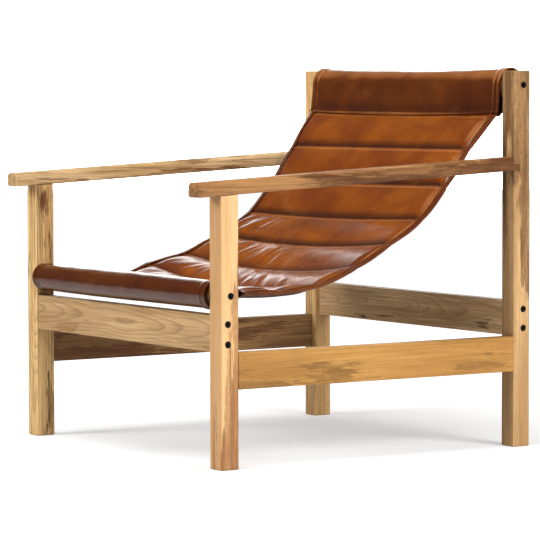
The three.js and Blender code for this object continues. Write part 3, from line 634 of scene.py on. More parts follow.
# %% Measure along the line
span = TOP_SEAM - FRONT_SEAM
creases = [FRONT_SEAM + Vector((run * span.x, rise * span.y)) for run, rise in CREASE_SHARES]
line_points = smooth_line([FRONT_SEAM, *creases, TOP_SEAM])
line_lengths = np.concatenate([[0], np.cumsum(np.hypot(*np.diff(line_points, axis=0).T))])
line_turns = np.unwrap(np.arctan2(*np.gradient(line_points, axis=0).T[::-1]))
SLING_LENGTH = line_lengths[-1]
QUILT_LENGTH = SLING_LENGTH - 2 * TAIL
PITCH = QUILT_LENGTH / CHANNELS
print("sling length:", round(SLING_LENGTH, 3), "channel pitch:", round(PITCH, 4))


def line_at(s):
    """(y, z, slope angle) of the sling's line at length s from the front seam."""
    inside = min(max(s, 0.0), SLING_LENGTH)
    y = float(np.interp(inside, line_lengths, line_points[:, 0]))
    z = float(np.interp(inside, line_lengths, line_points[:, 1]))
    angle = float(np.interp(inside, line_lengths, line_turns))
    return y + (s - inside) * cos(angle), z + (s - inside) * sin(angle), angle


def ease(value, low, high):
    """0 below low and 1 above high, with soft ends."""
    t = min(max((value - low) / (high - low), 0.0), 1.0)
    return t * t * (3 - 2 * t)


def between(value, low, full, fade, gone):
    """0 below low, 1 from full to fade, and 0 again past gone."""
    return ease(value, low, full) * (1 - ease(value, fade, gone))


def ripple(x, s, across, along, seed):
    """Smooth noise from -1 to 1, with so many cells per metre across and along."""
    return noise.noise(Vector((x * across, s * along, seed)))


def quilt_share(s):
    """0 at the front end of the quilting and 1 at its top end."""
    return min(max((s - TAIL) / QUILT_LENGTH, 0.0), 1.0)


# %% [markdown]
# ## How the leather hangs
# A sheet could be dropped on the bars and left to a simulation, but it would not settle into the
# chair's own folds. Here each habit of the used sling is one short function. The sides draw in and
# move to the near side where the back is tight, the middle of the seat sags, one side hangs lower
# than the other, the near edge of the seat rolls down, and its far front corner dips. All heights
# are measured square to the sling's line.

# %% Shape the sides and the sag
SEAT_SAG = 29 * MM
DRAW_IN = 7 * MM
SIDE_SHIFT = 5 * MM
NEAR_HEM = 18 * MM
FAR_HEM = 12 * MM
SEAT_PUFF = 12.5 * MM
BACK_PUFF = 9 * MM
UNDER_PUFF = 8 * MM
SEAT_FADE = 26 * MM
BACK_FADE = 13 * MM
PANEL_EDGE = 3.0 * MM
LINING = 1.2 * MM
NEAR_ROLL = 3 * MM
ROLL_WIDTH = 45 * MM
FAR_DIP = 11 * MM
SIDE_BULGE = 1.5 * MM
SIDE_INSET = 1.5 * MM
SCALLOP = 2.5 * MM
TWIST_SHARES = [0.0, 0.125, 0.25, 0.375, 0.5, 0.625, 0.75, 0.875, 1.0]
TWIST_RISES = [0.0, -2 * MM, -5 * MM, 2.1 * MM, 5.2 * MM, 5.4 * MM, 4.3 * MM, 3.3 * MM, 0.0]


def crown(s):
    """How full the padding is: none on a sewn crease and full between two."""
    return abs(sin(pi * quilt_share(s) * CHANNELS)) ** 0.8


def puff_height(s):
    """The seat's channels are deeper than those of the back."""
    return SEAT_PUFF + (BACK_PUFF - SEAT_PUFF) * ease(quilt_share(s), 0.28, 0.42)


def drawn_in(s):
    return ease(quilt_share(s), 0.25, 0.7) * ease(1 - quilt_share(s), 0.0, 0.15)


def hem_width(x):
    return NEAR_HEM if x > 0 else FAR_HEM


def half_width(s):
    share = quilt_share(s)
    scallop = SCALLOP * (crown(s) - 0.5) * ease(min(share, 1 - share), 0.0, 0.1)
    return HALF_WIDTH - DRAW_IN * drawn_in(s) - SIDE_INSET + scallop


def side_roll(s, x):
    """How far the near edge of the seat rolls down and its far front corner dips."""
    share, half = quilt_share(s), half_width(s)
    near = between(share, 0.0, 0.04, 0.12, 0.24) * ease(x, half - ROLL_WIDTH, half)
    far = between(share, 0.0, 0.06, 0.17, 0.26) * ease(-x, 0.3 * half, half)
    return NEAR_ROLL * near + FAR_DIP * far


def hang(s, x):
    """Height of the sling's mean surface over its line."""
    share = quilt_share(s)
    across = min(abs(x) / half_width(s), 1.0)
    sag = SEAT_SAG * sin(pi * share**0.5) ** 2.6 * (1 - across**2)
    twist = float(np.interp(share, TWIST_SHARES, TWIST_RISES)) * x / half_width(s)
    return twist - sag - side_roll(s, x)


print("half width at mid length:", round(half_width(SLING_LENGTH / 2), 3))


# %% Fill and wrinkle the channels
FAN_CENTRE = 0.054
FAN_SPREAD = 4.5
FAN_START = 0.3
SHARP_FOLD = 3.2 * MM
SOFT_FOLD = 2.6 * MM
WRINKLE_REACH = 0.16
WRINKLE_SHARES = [0.12, 0.24, 0.31, 0.44, 0.6]
WRINKLE_CENTRES = [0.12, 0.07, 0.04, -0.12, -0.24]
SLOW_DIMPLE = 1.3 * MM
QUICK_DIMPLE = 0.5 * MM
TOP_ARC = 7 * MM
TOP_SETTLE = 3 * MM
TOP_TILT = 2 * MM


def puff_share(s, x):
    """1 over the padding, falling to 0 at the hem."""
    room = half_width(s) - hem_width(x) - abs(x)
    fade = SEAT_FADE + (BACK_FADE - SEAT_FADE) * ease(quilt_share(s), 0.3, 0.5)
    return sin(pi / 2 * min(max(room / fade, 0.0), 1.0))


def side_bulge(s, x):
    """The wadding is fullest beside the near hem of the seat."""
    seat = between(quilt_share(s), 0.02, 0.1, 0.3, 0.6)
    from_edge = half_width(s) - x
    return SIDE_BULGE * seat * between(from_edge, NEAR_HEM, NEAR_HEM + 12 * MM, 30 * MM, 70 * MM)


def wrinkle(s, x):
    """Pulled folds that fan out from the middle of the back to the corners of the seat."""
    share = quilt_share(s)
    centre = float(np.interp(share, WRINKLE_SHARES, WRINKLE_CENTRES))
    band = max(0.0, 1 - ((x - centre) / WRINKLE_REACH) ** 2) ** 1.5
    far = 0.5 * between(-x, 0.08, 0.16, 0.26, 0.31) * (1 - ease(share, 0.32, 0.42))
    across = (x + FAN_CENTRE) * exp(FAN_SPREAD * (s - FAN_START))
    sharp = SHARP_FOLD * max(0.0, 1 - abs(ripple(across, s, 52, 7, 3.7)) * 3.2) ** 2
    soft = SOFT_FOLD * ripple(across, s, 24, 6, 7.7)
    return between(share, 0.10, 0.20, 0.54, 0.66) * max(band, far) * (sharp + soft)


def dimples(s, x):
    """Slow unevenness of a hand-filled quilt."""
    return SLOW_DIMPLE * ripple(x, s, 9, 11, 0.5) + QUICK_DIMPLE * ripple(x, s, 26, 22, 7)


def top_drift(x):
    """The top seam hangs in a shallow arc: its ends are further up than its middle."""
    side = x / HALF_WIDTH
    return TOP_ARC * side**2 - TOP_SETTLE + TOP_TILT * side


def sling_point(s, x, lift):
    """The place at length s and width x, lifted off the hanging surface."""
    y, z, angle = line_at(s + top_drift(x) * ease(quilt_share(s), 0.86, 1.0))
    rise = lift + hang(s, x)
    return Vector((x + SIDE_SHIFT * drawn_in(s), y - sin(angle) * rise, z + cos(angle) * rise))


print("middle of the seat:", [round(value, 3) for value in sling_point(SLING_LENGTH / 3, 0, 0)])

# %% [markdown]
# ## Building with grids
# Leather is cut flat and then bent, and the meshes are made the same way. A strip starts as a flat
# grid, and every point of it is moved to its place on the chair by a function of two shares, one
# across and one along. Sculpting would be quicker to start, but here each size can be changed later.


# %% Helpers for meshes
def grid_mesh(columns, rows, place):
    """A grid whose points go to place(share across, share along)."""
    shape = bmesh.new()
    bmesh.ops.create_grid(shape, x_segments=columns, y_segments=rows, size=1)
    for vertex in shape.verts:
        vertex.co = place((vertex.co.x + 1) / 2, (vertex.co.y + 1) / 2)
    return shape


def finish_piece(name, shape, material, body="root"):
    bmesh.ops.recalc_face_normals(shape, faces=shape.faces)
    mesh = bpy.data.meshes.new(name)
    shape.to_mesh(mesh)
    shape.free()
    mesh.shade_smooth()
    piece = bpy.data.objects.new(name, mesh)
    scene.collection.objects.link(piece)
    mesh.materials.append(material)
    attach(piece, body)
    return piece


def apply_modifiers(piece):
    """Replace the mesh with the result of its modifiers."""
    seen = piece.evaluated_get(bpy.context.evaluated_depsgraph_get())
    solid = bpy.data.meshes.new_from_object(seen)
    piece.modifiers.clear()
    piece.data = solid


def paint_shade(piece, value):
    """Write the shade attribute: 0 is painted shade, 0.5 is plain and 1 is a painted highlight."""
    layer = piece.data.attributes.new("shade", "FLOAT", "POINT")
    layer.data.foreach_set("value", [value(vertex.co) for vertex in piece.data.vertices])


# %% [markdown]
# ## The quilted panel
# The sling's face is one padded panel, sewn across into eight channels. Its face and its underside
# are two grids joined round their rims, so the panel is closed and can hold pressure. Rows crowd
# towards the creases, where the leather bends most.

# %% Build the panel
PANEL_COLUMNS = 80
PANEL_ROWS = 144
CROWDING = 0.5
START_FULLNESS = 0.8


def panel_place(u, v, top):
    crowded = v - CROWDING / (tau * CHANNELS) * sin(tau * CHANNELS * v)
    s = TAIL * 0.3 + crowded * (SLING_LENGTH - TAIL * 0.6)
    x = (2 * u - 1) * half_width(s)
    sewn = crown(s) * puff_share(s, x)
    if top:
        lift = (puff_height(s) * START_FULLNESS + side_bulge(s, x) + dimples(s, x)) * sewn
        lift += wrinkle(s, x) * puff_share(s, x) * crown(s) ** 0.5
    else:
        lift = LINING + GAP - PANEL_EDGE - UNDER_PUFF * START_FULLNESS * sewn
    return sling_point(s, x, lift)


def build_panel():
    shape = grid_mesh(PANEL_COLUMNS, PANEL_ROWS, lambda u, v: panel_place(u, v, True))
    under = grid_mesh(PANEL_COLUMNS, PANEL_ROWS, lambda u, v: panel_place(u, v, False))
    spare = bpy.data.meshes.new("under")
    under.to_mesh(spare)
    under.free()
    shape.from_mesh(spare)
    bpy.data.meshes.remove(spare)
    rims = [edge for edge in shape.edges if edge.is_boundary]
    bmesh.ops.bridge_loops(shape, edges=rims)
    return finish_piece("sling_panel", shape, panel_leather)


panel = build_panel()
print("panel faces:", len(panel.data.polygons))

# %% [markdown]
# Padding could be drawn with a sine alone, but it would look stamped. Cloth simulation blows the last
# part of the fullness into it. The sewn lines are pinned: the creases, the two hems and both ends.
# Gravity is off because the sag is already in the shape, a light pressure fills the channels, and no
# point may move further than a set cap.

# %% Blow up the channels
MOVE_CAP = 7 * MM
PRESSURE = 4.0
FRAMES = 20
LINE_SAMPLES = 700
PINNED_FULLNESS = 0.28
STIFFNESSES = {"tension": 30, "compression": 30, "shear": 15, "bending": 2}


def panel_shares():
    """(length s, width x) of every panel vertex, from the nearest sample of the sling's line."""
    table = np.array([(s, *line_at(s)[:2]) for s in np.linspace(0, SLING_LENGTH, LINE_SAMPLES)])
    places = np.array([vertex.co for vertex in panel.data.vertices])
    gaps = (places[:, 1, None] - table[None, :, 1]) ** 2 + (places[:, 2, None] - table[None, :, 2]) ** 2
    lengths = table[gaps.argmin(axis=1), 0]
    return lengths, places[:, 0] - [SIDE_SHIFT * drawn_in(s) for s in lengths]


def blow_up(piece):
    lengths, widths = panel_shares()
    group = piece.vertex_groups.new(name="sewn")
    for index, (s, x) in enumerate(zip(lengths, widths)):
        near_crease = crown(s) < PINNED_FULLNESS
        near_hem = abs(x) > half_width(s) - hem_width(x) - 1 * MM
        group.add([index], 1.0 if near_crease or near_hem else 0.0, "REPLACE")
    start = np.array([vertex.co for vertex in piece.data.vertices])
    cloth = piece.modifiers.new("Cloth", "CLOTH")
    cloth.settings.quality = 5
    cloth.settings.mass = 0.3
    for kind, stiffness in STIFFNESSES.items():
        setattr(cloth.settings, f"{kind}_stiffness", stiffness)
    cloth.settings.vertex_group_mass = "sewn"
    cloth.settings.use_pressure = True
    cloth.settings.uniform_pressure_force = PRESSURE
    cloth.settings.effector_weights.gravity = 0
    cloth.collision_settings.use_self_collision = False
    cloth.collision_settings.use_collision = False
    cloth.point_cache.frame_start = 1
    cloth.point_cache.frame_end = FRAMES
    for step in range(1, FRAMES + 1):
        scene.frame_set(step)
    apply_modifiers(piece)
    scene.frame_set(1)
    moves = np.array([vertex.co for vertex in piece.data.vertices]) - start
    sizes = np.linalg.norm(moves, axis=1)
    print("largest move before the cap:", round(float(sizes.max()) / MM, 1), "mm")
    kept = start + moves * np.minimum(1, MOVE_CAP / np.maximum(sizes, 1e-9))[:, None]
    piece.data.vertices.foreach_set("co", kept.ravel())
    piece.vertex_groups.clear()


blow_up(panel)

# %% [markdown]
# The shade attribute holds painted shade and painted highlights. It could be painted by hand. Here it is
# worked out from how far a point lies from the nearest crease, seam and hem. The panel then gets one
# level of subdivision, and its underside, moved out a little, becomes the lining.


# %% Shade the panel and line it
def length_near(co):
    """The length along the sling's line of the point nearest to a place."""
    gaps = (line_points[:, 0] - co.y) ** 2 + (line_points[:, 1] - co.z) ** 2
    return float(line_lengths[gaps.argmin()])


def panel_shade(co):
    """Painted shade above each crease, at the seams and along the sides, and painted highlights below each
    crease and on the near shoulder.
    """
    s = length_near(co)
    x = co.x - SIDE_SHIFT * drawn_in(s)
    share, half = quilt_share(s), half_width(s)
    from_crease = ((share * CHANNELS + 0.5) % 1 - 0.5) * PITCH
    # Painted shade just above each crease.
    dark = 0.36 * (1 - ease(from_crease, 4 * MM, 26 * MM)) + 0.14 * (1 - ease(from_crease, 2 * MM, 7 * MM))
    dark *= ease(from_crease, -1.5 * MM, 0.5 * MM) * (0.55 + 0.45 * ease(share, 0.3, 0.5))
    if s < TAIL or s > SLING_LENGTH - TAIL:
        dark = 0.0
    # A painted highlight just below each crease.
    painted_highlight = 0.45 * between(from_crease, -8 * MM, -5 * MM, -4 * MM, -1 * MM)
    # Painted shade towards both seams, along the side edge and on the near side of the front channel.
    end = 0.10 * (1 - ease(min(s, SLING_LENGTH - s), 0.0, 20 * MM))
    rim = 0.2 * ease(abs(x), half - 3 * MM, half)
    first = 0.24 * ease(x, half - 60 * MM, half - 25 * MM) * (1 - ease(share, 0.12, 0.26))
    # A painted highlight on the near shoulder of the back, beside the hem.
    shoulder = 0.48 * between(half - NEAR_HEM - x, 0.0, 3 * MM, 7 * MM, 16 * MM)
    shoulder *= crown(s) * ease(share, 0.5, 0.7)
    return 0.52 + painted_highlight + shoulder - dark - end - rim - first


GRID_POINTS = (PANEL_COLUMNS + 1) * (PANEL_ROWS + 1)


def build_lining():
    """The lining is the panel's underside moved out a little, so it follows every channel."""
    under = panel.data.vertices[GRID_POINTS:2 * GRID_POINTS]
    out = [vertex.co + vertex.normal * (GAP + LINING / 2) for vertex in under]
    shape = grid_mesh(PANEL_COLUMNS, PANEL_ROWS, lambda u, v: Vector((u, v, 0)))
    shape.verts.ensure_lookup_table()
    for vertex, place in zip(shape.verts, out):
        vertex.co = place
    piece = finish_piece("sling_lining", shape, lining)
    thick = piece.modifiers.new("Solidify", "SOLIDIFY")
    thick.thickness = LINING
    thick.offset = 0
    return piece


paint_shade(panel, panel_shade)
smooth = panel.modifiers.new("Subdivision", "SUBSURF")
smooth.levels = smooth.render_levels = 1
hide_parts("sling_face", "sling_padding")
sling_lining = build_lining()
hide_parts("sling_backing")
print("lining faces:", len(sling_lining.data.polygons))

# %% [markdown]
# ## Hems
# A strip of leather is folded round each side of the panel, in a U, and sewn down with two rows of
# stitches. A bevel on the panel would not show the strip's own edges, so each strip is a grid bent
# to its section and given a wall. It follows the scalloped side, and the near strip is the wider.

# %% Draw a hem's section
HEM_THICKNESS = 1.4 * MM
HEM_OVERHANG = 1.3 * MM
GROOVE_SHARE = 0.4
MEASURED_AT = 0.3


def hem_profile(s, width):
    """(distance out from the middle, lift) of the strip's outer face, from the upper rim to the lower."""
    half = half_width(s)
    top, bottom = HEM_THICKNESS, -PANEL_EDGE - HEM_THICKNESS
    out = half + HEM_OVERHANG
    middle, radius = (top + bottom) / 2, (top - bottom) / 2
    angles = np.linspace(pi / 2, -pi / 2, 9)
    fold = [(out - radius + radius * cos(a), middle + radius * sin(a)) for a in angles]
    inner, groove = half - width, half - GROOVE_SHARE * width
    roll = (1 + 2.5 * crown(s)) * width / 12
    rim = [(inner, top), (inner + 0.06 * width, top + 0.5 * roll), (inner + 0.15 * width, top + 0.9 * roll)]
    crest = [(inner + 0.25 * width, top + roll), (inner + 0.38 * width, top + 0.8 * roll)]
    crest.append((groove - 0.1 * width, top + 0.3 * roll))
    sunk = [(groove - 0.04 * width, top), (groove, top - 0.5 * MM), (groove + 0.05 * width, top)]
    back = [(half - 8 * MM, bottom), (inner + 3 * MM, bottom), (inner + 2 * MM, bottom + 0.9 * MM)]
    return rim + crest + sunk + fold + back


def cut_width(width):
    """Length of the strip's section, which is how wide it was cut."""
    section = hem_profile(MEASURED_AT, width)
    return sum(hypot(b[0] - a[0], b[1] - a[1]) for a, b in zip(section, section[1:]))


print("hem strips cut:", [round(cut_width(width) / MM, 1) for width in (NEAR_HEM, FAR_HEM)], "mm wide")

# %% [markdown]
# The near hem of the back gets a painted highlight on its rolled edge, and both hems get painted shade in
# their stitch grooves. A hem could be one long bevel, but its grid takes the points of the
# section across and many rows along the side, so that it follows every scallop.

# %% Fold the hems round the sides
HEM_ROWS = 220
HEM_WAVER = 0.35 * MM


def hem_shade(co):
    """A painted highlight on the rolled strip between creases, and painted shade in the stitch groove and at
    the inner rim.
    """
    s = length_near(co)
    x = co.x - SIDE_SHIFT * drawn_in(s)
    place = (half_width(s) - abs(x)) / hem_width(x)
    strip = between(place, 0.45, 0.6, 0.8, 1.0)
    # Painted shade in the stitch groove and at the inner rim.
    groove = 1 - ease(abs(place - GROOVE_SHARE), 0.03, 0.1)
    rim = ease(place, 0.92, 1.0)
    # A painted highlight on the near hem of the back.
    back = ease(co.y, -0.2, 0.1) if x > 0 else 0.0
    painted_highlight = 0.16 * back + 0.5 * back * strip * crown(s)
    return 0.38 + painted_highlight - 0.3 * groove - 0.25 * rim + 0.15 * noise.noise(co * 40)


def build_hem(name, side):
    width = hem_width(side)
    count = len(hem_profile(0.0, width))

    def place(u, v):
        s = TAIL + GAP + v * (QUILT_LENGTH - 2 * GAP)
        x, lift = hem_profile(s, width)[round(u * (count - 1))]
        lift += HEM_WAVER * noise.noise(Vector((side * 5, s * 60, x * 40)))
        return sling_point(s, side * x, lift)

    hem = finish_piece(name, grid_mesh(count - 1, HEM_ROWS, place), edge_leather)
    thick = hem.modifiers.new("Solidify", "SOLIDIFY")
    thick.thickness = HEM_THICKNESS
    thick.offset = -1
    paint_shade(hem, hem_shade)
    return hem


SIDES = {"left": 1, "right": -1}
for name, side in SIDES.items():
    hem = build_hem(f"hem_{name}", side)
    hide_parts(f"sling_hem_{name}")
    flat = (cut_width(hem_width(side)), QUILT_LENGTH)
    print(hem.name, "faces:", len(hem.data.polygons))

# %% [markdown]
# ## Sleeves
# Each sleeve is one strip wrapped round a bar. A cylinder would miss how the leather leaves the bar,
# so the section is drawn as a strap round a pulley: it leaves the panel on the upper side, touches
# the bar, goes round it and comes back under the panel. The ends are turned in and stitched.

# %% Draw a sleeve's section
SLEEVE_TAIL = 6.5 * MM
SLEEVE_OUT = 2.2 * MM
WRAP_STEPS = 48


def wrap_section(bar, seam, direction, turn, slack):
    """A sleeve's outer line in the (y, z) plane, from its upper tail round the bar to its lower tail."""
    along = Vector(direction)
    lift = Vector((-along.y, along.x)) * turn
    radius = BAR_RADIUS + GAP + SLEEVE_OUT
    upper = seam + lift * (GAP + SLEEVE_OUT)
    lower = seam - lift * (PANEL_EDGE + GAP + SLEEVE_OUT)

    def touch(point, sense):
        arm = point - bar
        return atan2(arm.y, arm.x) + sense * acos(radius / arm.length)

    start = touch(upper, turn)
    sweep = (turn * (touch(lower, -turn) - start)) % tau
    line = [upper + along * SLEEVE_TAIL, upper]
    for step in range(WRAP_STEPS + 1):
        angle = start + turn * sweep * step / WRAP_STEPS
        forward = slack if cos(angle) < 0 else 0.0
        line.append(bar + Vector((radius * cos(angle) - forward, radius * sin(angle))))
    return [*line, lower, lower + along * SLEEVE_TAIL]


def even_line(points, count):
    """The same line with evenly spaced points, and its length."""
    places = np.array(points)
    lengths = np.concatenate([[0], np.cumsum(np.hypot(*np.diff(places, axis=0).T))])
    even = np.linspace(0, lengths[-1], count)
    return np.column_stack([np.interp(even, lengths, column) for column in places.T]), lengths[-1]


# %% [markdown]
# The grid follows the section one way and the bar the other. Close to each end it steps out by the
# thickness of the turned hem, with a groove where that hem is stitched. A second strip for the hem
# would be closer to how it is sewn, but its inner half would never be seen.

# %% Bend a strip into a sleeve
SECTION_POINTS = 121
SLEEVE_ROWS = 150
SLEEVE_HALF = HALF_WIDTH + 3.5 * MM
SLEEVE_THICKNESS = 2.0 * MM
TURNED_HEM = 22 * MM
TURNED_RISE = 1.6 * MM
GROOVE_DEPTH = 2.2 * MM
RIM_DROP = 1.2 * MM


def sleeve_width_share(v):
    """Rows crowd towards both ends, where the turned hems are."""
    return 0.5 - 0.5 * cos(pi * v)


def build_sleeve(name, bar, seam, direction, turn, slack, material, settle, drift):
    section, length = even_line(wrap_section(bar, seam, direction, turn, slack), SECTION_POINTS)
    normals = np.gradient(section, axis=0)
    normals = np.column_stack([normals[:, 1], -normals[:, 0]]) * turn
    normals /= np.linalg.norm(normals, axis=1)[:, None]

    def place(u, v):
        x = (2 * sleeve_width_share(v) - 1) * SLEEVE_HALF
        index = round(u * (SECTION_POINTS - 1))
        from_end = SLEEVE_HALF - abs(x)
        from_seam = hypot(section[index][0] - seam.x, section[index][1] - seam.y)
        turned = TURNED_RISE * (1 - ease(from_end, TURNED_HEM - 2 * MM, TURNED_HEM + 1 * MM))
        groove = -GROOVE_DEPTH * (1 - ease(abs(from_end - TURNED_HEM / 2), 0.5 * MM, 4 * MM))
        rim = -RIM_DROP * (1 - ease(from_end, 0.0, 2.5 * MM))
        out = (turned + groove + rim) * ease(from_seam, 5 * MM, 14 * MM) + settle(x, u)
        pulled = Vector(direction) * -drift(x) * (1 - ease(from_seam, 12 * MM, 60 * MM))
        y, z = section[index] + normals[index] * out
        return Vector((x, y + pulled.x, z + pulled.y))

    piece = finish_piece(name, grid_mesh(SECTION_POINTS - 1, SLEEVE_ROWS, place), material)
    thick = piece.modifiers.new("Solidify", "SOLIDIFY")
    thick.thickness = SLEEVE_THICKNESS
    thick.offset = -1
    return piece, length


# %% [markdown]
# A sleeve as round as its bar would look like a plastic tube. The two do not settle alike: the front
# one is slack in front of its bar and bellies in the middle, and the top one flares at its ends. Slow
# noise makes both uneven.

# %% Let the sleeves settle
FRONT_SLACK = 7.4 * MM
FRONT_BELLY = 1.2 * MM
TOP_FLARE = 5.0 * MM


def front_settle(x, u):
    """The front sleeve bellies out a little in the middle of the bar."""
    loose = sin(pi * min(max(u, 0), 1)) ** 0.7
    slow = 0.9 * MM * ripple(x, u, 5, 5, 2) + 0.5 * MM * ripple(x, u, 21, 9, 5)
    return FRONT_BELLY * (1 - (x / HALF_WIDTH) ** 2) * loose + loose * slow


def top_settle(x, u):
    """The top sleeve flares at its ends, where the turned hem keeps it off the bar."""
    loose = sin(pi * min(max(u, 0), 1))
    flare = TOP_FLARE * (x / HALF_WIDTH) ** 2 * between(u, 0.25, 0.45, 0.5, 0.75)
    slow = 0.9 * MM * ripple(x, u, 6, 5, 11) + 0.4 * MM * ripple(x, u, 24, 9, 15)
    return flare + loose * slow


def no_drift(x):
    """The front seam runs straight across."""
    return 0.0


print("top sleeve's flare at an end:", round(top_settle(HALF_WIDTH, 0.48) / MM, 1), "mm")

# %% [markdown]
# A sleeve gets painted highlights along its crest and at the lip of its seam, and painted shade below the
# crest and near the seam. That could be painted,
# but it would have to be painted again after each change, so it is worked out from the height over
# the bar's axis and from the distance to the seam.


# %% Wrap the sleeves round the bars
def tangent_at(s):
    return Vector((cos(line_at(s)[2]), sin(line_at(s)[2])))


def sleeve_shade(co):
    """Painted highlights on the crest, the sewn lip and the ends, and painted shade below the crest and near
    the seam.
    """
    front = co.y < 0
    bar, seam = (SEAT_BAR, FRONT_SEAM) if front else (TOP_BAR, TOP_SEAM)
    inward = tangent_at(0) if front else -tangent_at(SLING_LENGTH)
    # A painted highlight along the crest and at the seam's lip, and painted shade on the lower front and near
    # the seam.
    crest = ease((co.z - bar.z) / BAR_RADIUS, -0.1, 0.9)
    lip = ease((Vector((co.y, co.z)) - seam).dot(inward), 2 * MM, 4 * MM)
    fold = ease(hypot(co.y - seam.x, co.z - seam.y), 9 * MM, 30 * MM)
    # Painted highlights at the ends. On the top sleeve the hem ridges also get a painted highlight and its
    # stitch groove gets painted shade.
    end = 0.12 * ease(abs(co.x), HALF_WIDTH - 3 * MM, HALF_WIDTH)
    ring = (SLEEVE_HALF - abs(co.x)) / TURNED_HEM
    if not front:
        end += 0.3 * (between(ring, 0.1, 0.2, 0.3, 0.42) + between(ring, 0.6, 0.75, 0.9, 1.1))
        end -= 0.25 * (1 - ease(abs(ring - 0.5), 0.04, 0.14))
    crest *= 0.14 if front else 0.44
    return 0.24 + 0.14 * fold + crest + 0.50 * lip + end + 0.1 * noise.noise(co * 22)


def bar_plane(bar):
    return Vector((bar.y, bar.z))


SEAT_END = (bar_plane(SEAT_BAR), FRONT_SEAM, tangent_at(0), 1, FRONT_SLACK)
TOP_END = (bar_plane(TOP_BAR), TOP_SEAM, -tangent_at(SLING_LENGTH), -1, 0.0)
front_sleeve, front_length = build_sleeve("seat_roll", *SEAT_END, roll_leather, front_settle, no_drift)
top_sleeve, top_length = build_sleeve("top_roll", *TOP_END, sleeve_leather, top_settle, top_drift)
for piece, node_name, length, bar_name in (
    (front_sleeve, "front_sleeve", front_length, "seat_bar"),
    (top_sleeve, "top_sleeve", top_length, "top_bar"),
):
    paint_shade(piece, sleeve_shade)
    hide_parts(node_name)
    print(piece.name, "section:", round(length / MM), "mm")

# %% [markdown]
# ## Stitches
# Every stitch is a short plump thread lying on the leather. A bump could only draw them, so they are
# real shapes, with few faces because there are many. One mesh holds all the stitches of a seam.

# %% Sew the seams
STITCH_STEP = 5.2 * MM
STITCH_LENGTH = 3.8 * MM
STITCH_RADIUS = 0.55 * MM


def sew(name, places):
    """A seam of stitches. Each place is (middle, direction along the seam, direction out of the leather)."""
    shape = bmesh.new()
    size = Matrix.Diagonal((STITCH_LENGTH / 2, STITCH_RADIUS, STITCH_RADIUS, 1))
    for middle, along, out in places:
        side = out.cross(along).normalized()
        axes = Matrix((along.normalized(), side, along.normalized().cross(side))).transposed().to_4x4()
        placed = Matrix.Translation(middle) @ axes @ size
        bmesh.ops.create_uvsphere(shape, u_segments=6, v_segments=4, radius=1, matrix=placed)
    seam = finish_piece(name, shape, thread)
    return seam


def seam_on_panel(points):
    """Middle, direction and outward direction for stitches along a list of points."""
    places = []
    for before, here, after in zip(points, points[1:], points[2:]):
        along = after - before
        out = Vector((0, -along.z, along.y)) if abs(along.x) < along.length / 2 else Vector((0, -0.5, 0.8))
        places.append((here, along, out))
    return places


HEM_STITCHES = {"inner": (0.9, 3.0 * MM), "outer": (GROOVE_SHARE, 1.3 * MM)}
END_INSETS = {0: 2 * MM, CHANNELS: -2 * MM}
hem_lengths = [TAIL + step * STITCH_STEP for step in range(int(QUILT_LENGTH / STITCH_STEP) + 1)]
for name, side in SIDES.items():
    for row, (inset, lift) in HEM_STITCHES.items():
        inset *= hem_width(side)
        points = [sling_point(s, side * (half_width(s) - inset), lift) for s in hem_lengths]
        sew(f"hem_stitches_{row}_{name}", seam_on_panel(points))
for crease in range(CHANNELS + 1):
    s = TAIL + crease * PITCH + END_INSETS.get(crease, 0.0)
    start = FAR_HEM + 2 * MM - half_width(s)
    count = int((half_width(s) - NEAR_HEM - 2 * MM - start) / STITCH_STEP)
    points = [sling_point(s, start + step * STITCH_STEP, 0.5 * MM) for step in range(count + 1)]
    sew(f"crease_stitches_{crease}", seam_on_panel(points))
print("stitches in a hem row:", len(hem_lengths) - 2)

# %% [markdown]
# ## Light and floor
# Large soft lamps stand above, to the right and in front, as in a small studio, and one lamp is there
# only to glint in the wax. A picture of a studio could light the chair too, but lamps stay easy to
# change. The camera sees the world as white, and a pale floor keeps the shadow.


# %% Set up the studio
# Each lamp's place, the place it points at, its width, its power in watts, and if gloss mirrors it.
LAMPS = {
    "top_light": ((0.1, -0.30, 3.2), (0, 0, 0.3), 2.0, 72, False),
    "side_light": ((3.2, 0.7, 1.3), (0, 0, 0.4), 1.6, 95, False),
    "glint_light": ((1.2, -1.5, 2.6), (0, 0.1, 0.5), 1.0, 18, True),
    "front_light": ((-0.9, -3.6, 1.7), (0, 0, 0.4), 1.6, 95, False),
}


def area_light(name, place, target, size, power, seen_in_gloss):
    lamp = bpy.data.lights.new(name, "AREA")
    lamp.shape = "DISK"
    lamp.size = size
    lamp.energy = power
    lit = bpy.data.objects.new(name, lamp)
    lit.location = place
    lit.rotation_euler = (Vector(target) - Vector(place)).to_track_quat("-Z", "Y").to_euler()
    lit.visible_glossy = seen_in_gloss
    scene.collection.objects.link(lit)


for name, setup in LAMPS.items():
    area_light(name, *setup)
print("lamps:", len(bpy.data.lights))

# %% [markdown]
# Glossy leather is only as good as what it mirrors. A plain white world would turn the whole seat
# white, so the world is dim except for a bright backdrop behind the chair.

# %% Set up the world
BACKDROP_SIDE = (-sin(CAMERA_AZIMUTH), cos(CAMERA_AZIMUTH), 0.07)
BACKDROP_EDGE = (0.885, 0.985)
ROOM_GLOW = 0.07
BACKDROP_GLOW = 3.7


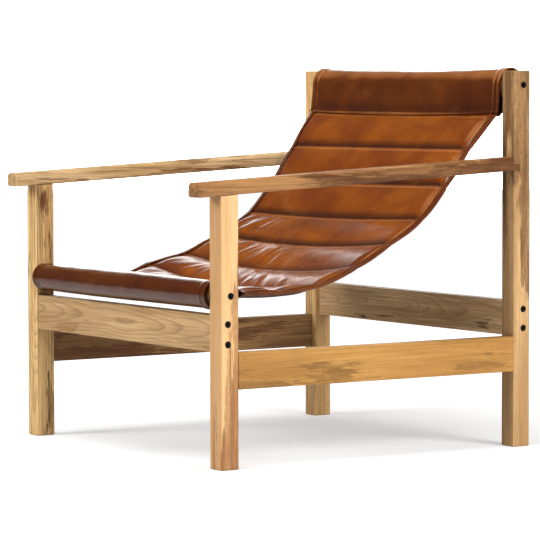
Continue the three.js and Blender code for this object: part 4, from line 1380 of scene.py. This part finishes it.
def build_world():
    """White to the camera. To the chair, a bright backdrop behind it and a dim room in front."""
    world = bpy.data.worlds.new("studio")
    world.use_nodes = True
    scene.world = world
    tree = world.node_tree
    direction = add_node(tree, "ShaderNodeTexCoord").outputs["Generated"]
    dot = {"operation": "DOT_PRODUCT"}
    facing = add_node(tree, "ShaderNodeVectorMath", dot, i0=direction, i1=BACKDROP_SIDE)
    glow = spread(tree, facing.outputs["Value"], *BACKDROP_EDGE, ROOM_GLOW, BACKDROP_GLOW)
    seen = add_node(tree, "ShaderNodeLightPath").outputs["Is Camera Ray"]
    background = tree.nodes["Background"]
    background.inputs["Color"].default_value = (1, 1, 1, 1)
    tree.links.new(math(tree, "MAXIMUM", seen, glow), background.inputs["Strength"])


build_world()
print("glow of the room and of the backdrop:", ROOM_GLOW, BACKDROP_GLOW)

# %% [markdown]
# The photograph has a pure white background. Leaving the floor out would give that, but the chair
# would hang in the air without its shadow. So the floor is a wide disc of pale paper just under the
# feet. It glows to the camera only, and more so further away, where it runs into the white.

# %% Lay the floor
FLOOR_GLOW = (0.40, 0.90)
FLOOR_FADE = (0.6, 2.4)
FLOOR_RADIUS = 14
FLOOR_SIDES = 96
FLOOR_DROP = 0.5 * MM


def floor_material():
    """Pale paper. It glows to the camera only, more so away from the chair, and keeps the shadow."""
    made, tree, surface = new_material("pale_floor")
    place = add_node(tree, "ShaderNodeTexCoord").outputs["Object"]
    cloud = noise_value(tree, place, 3.0, 3.0)
    paper = mix(tree, cloud, (0.69, 0.69, 0.69, 1), (0.71, 0.71, 0.71, 1))
    tree.links.new(paper, surface.inputs["Base Color"])
    surface.inputs["Roughness"].default_value = 0.9
    surface.inputs["Specular IOR Level"].default_value = 0.0
    path = add_node(tree, "ShaderNodeLightPath")
    from_chair = add_node(tree, "ShaderNodeVectorMath", {"operation": "LENGTH"}, i0=place).outputs["Value"]
    lit = spread(tree, from_chair, *FLOOR_FADE, *FLOOR_GLOW)
    glow = math(tree, "MULTIPLY", path.outputs["Is Camera Ray"], lit)
    surface.inputs["Emission Color"].default_value = (1, 1, 1, 1)
    tree.links.new(glow, surface.inputs["Emission Strength"])
    return made


floor_shape = bmesh.new()
bmesh.ops.create_circle(floor_shape, cap_ends=True, segments=FLOOR_SIDES, radius=FLOOR_RADIUS)
floor_mesh = bpy.data.meshes.new("floor")
floor_shape.to_mesh(floor_mesh)
floor_shape.free()
floor = bpy.data.objects.new("floor", floor_mesh)
floor.location.z = -FLOOR_DROP
floor_mesh.materials.append(floor_material())
scene.collection.objects.link(floor)
scene.view_settings.view_transform = "Standard"
print("floor radius:", FLOOR_RADIUS, "m")
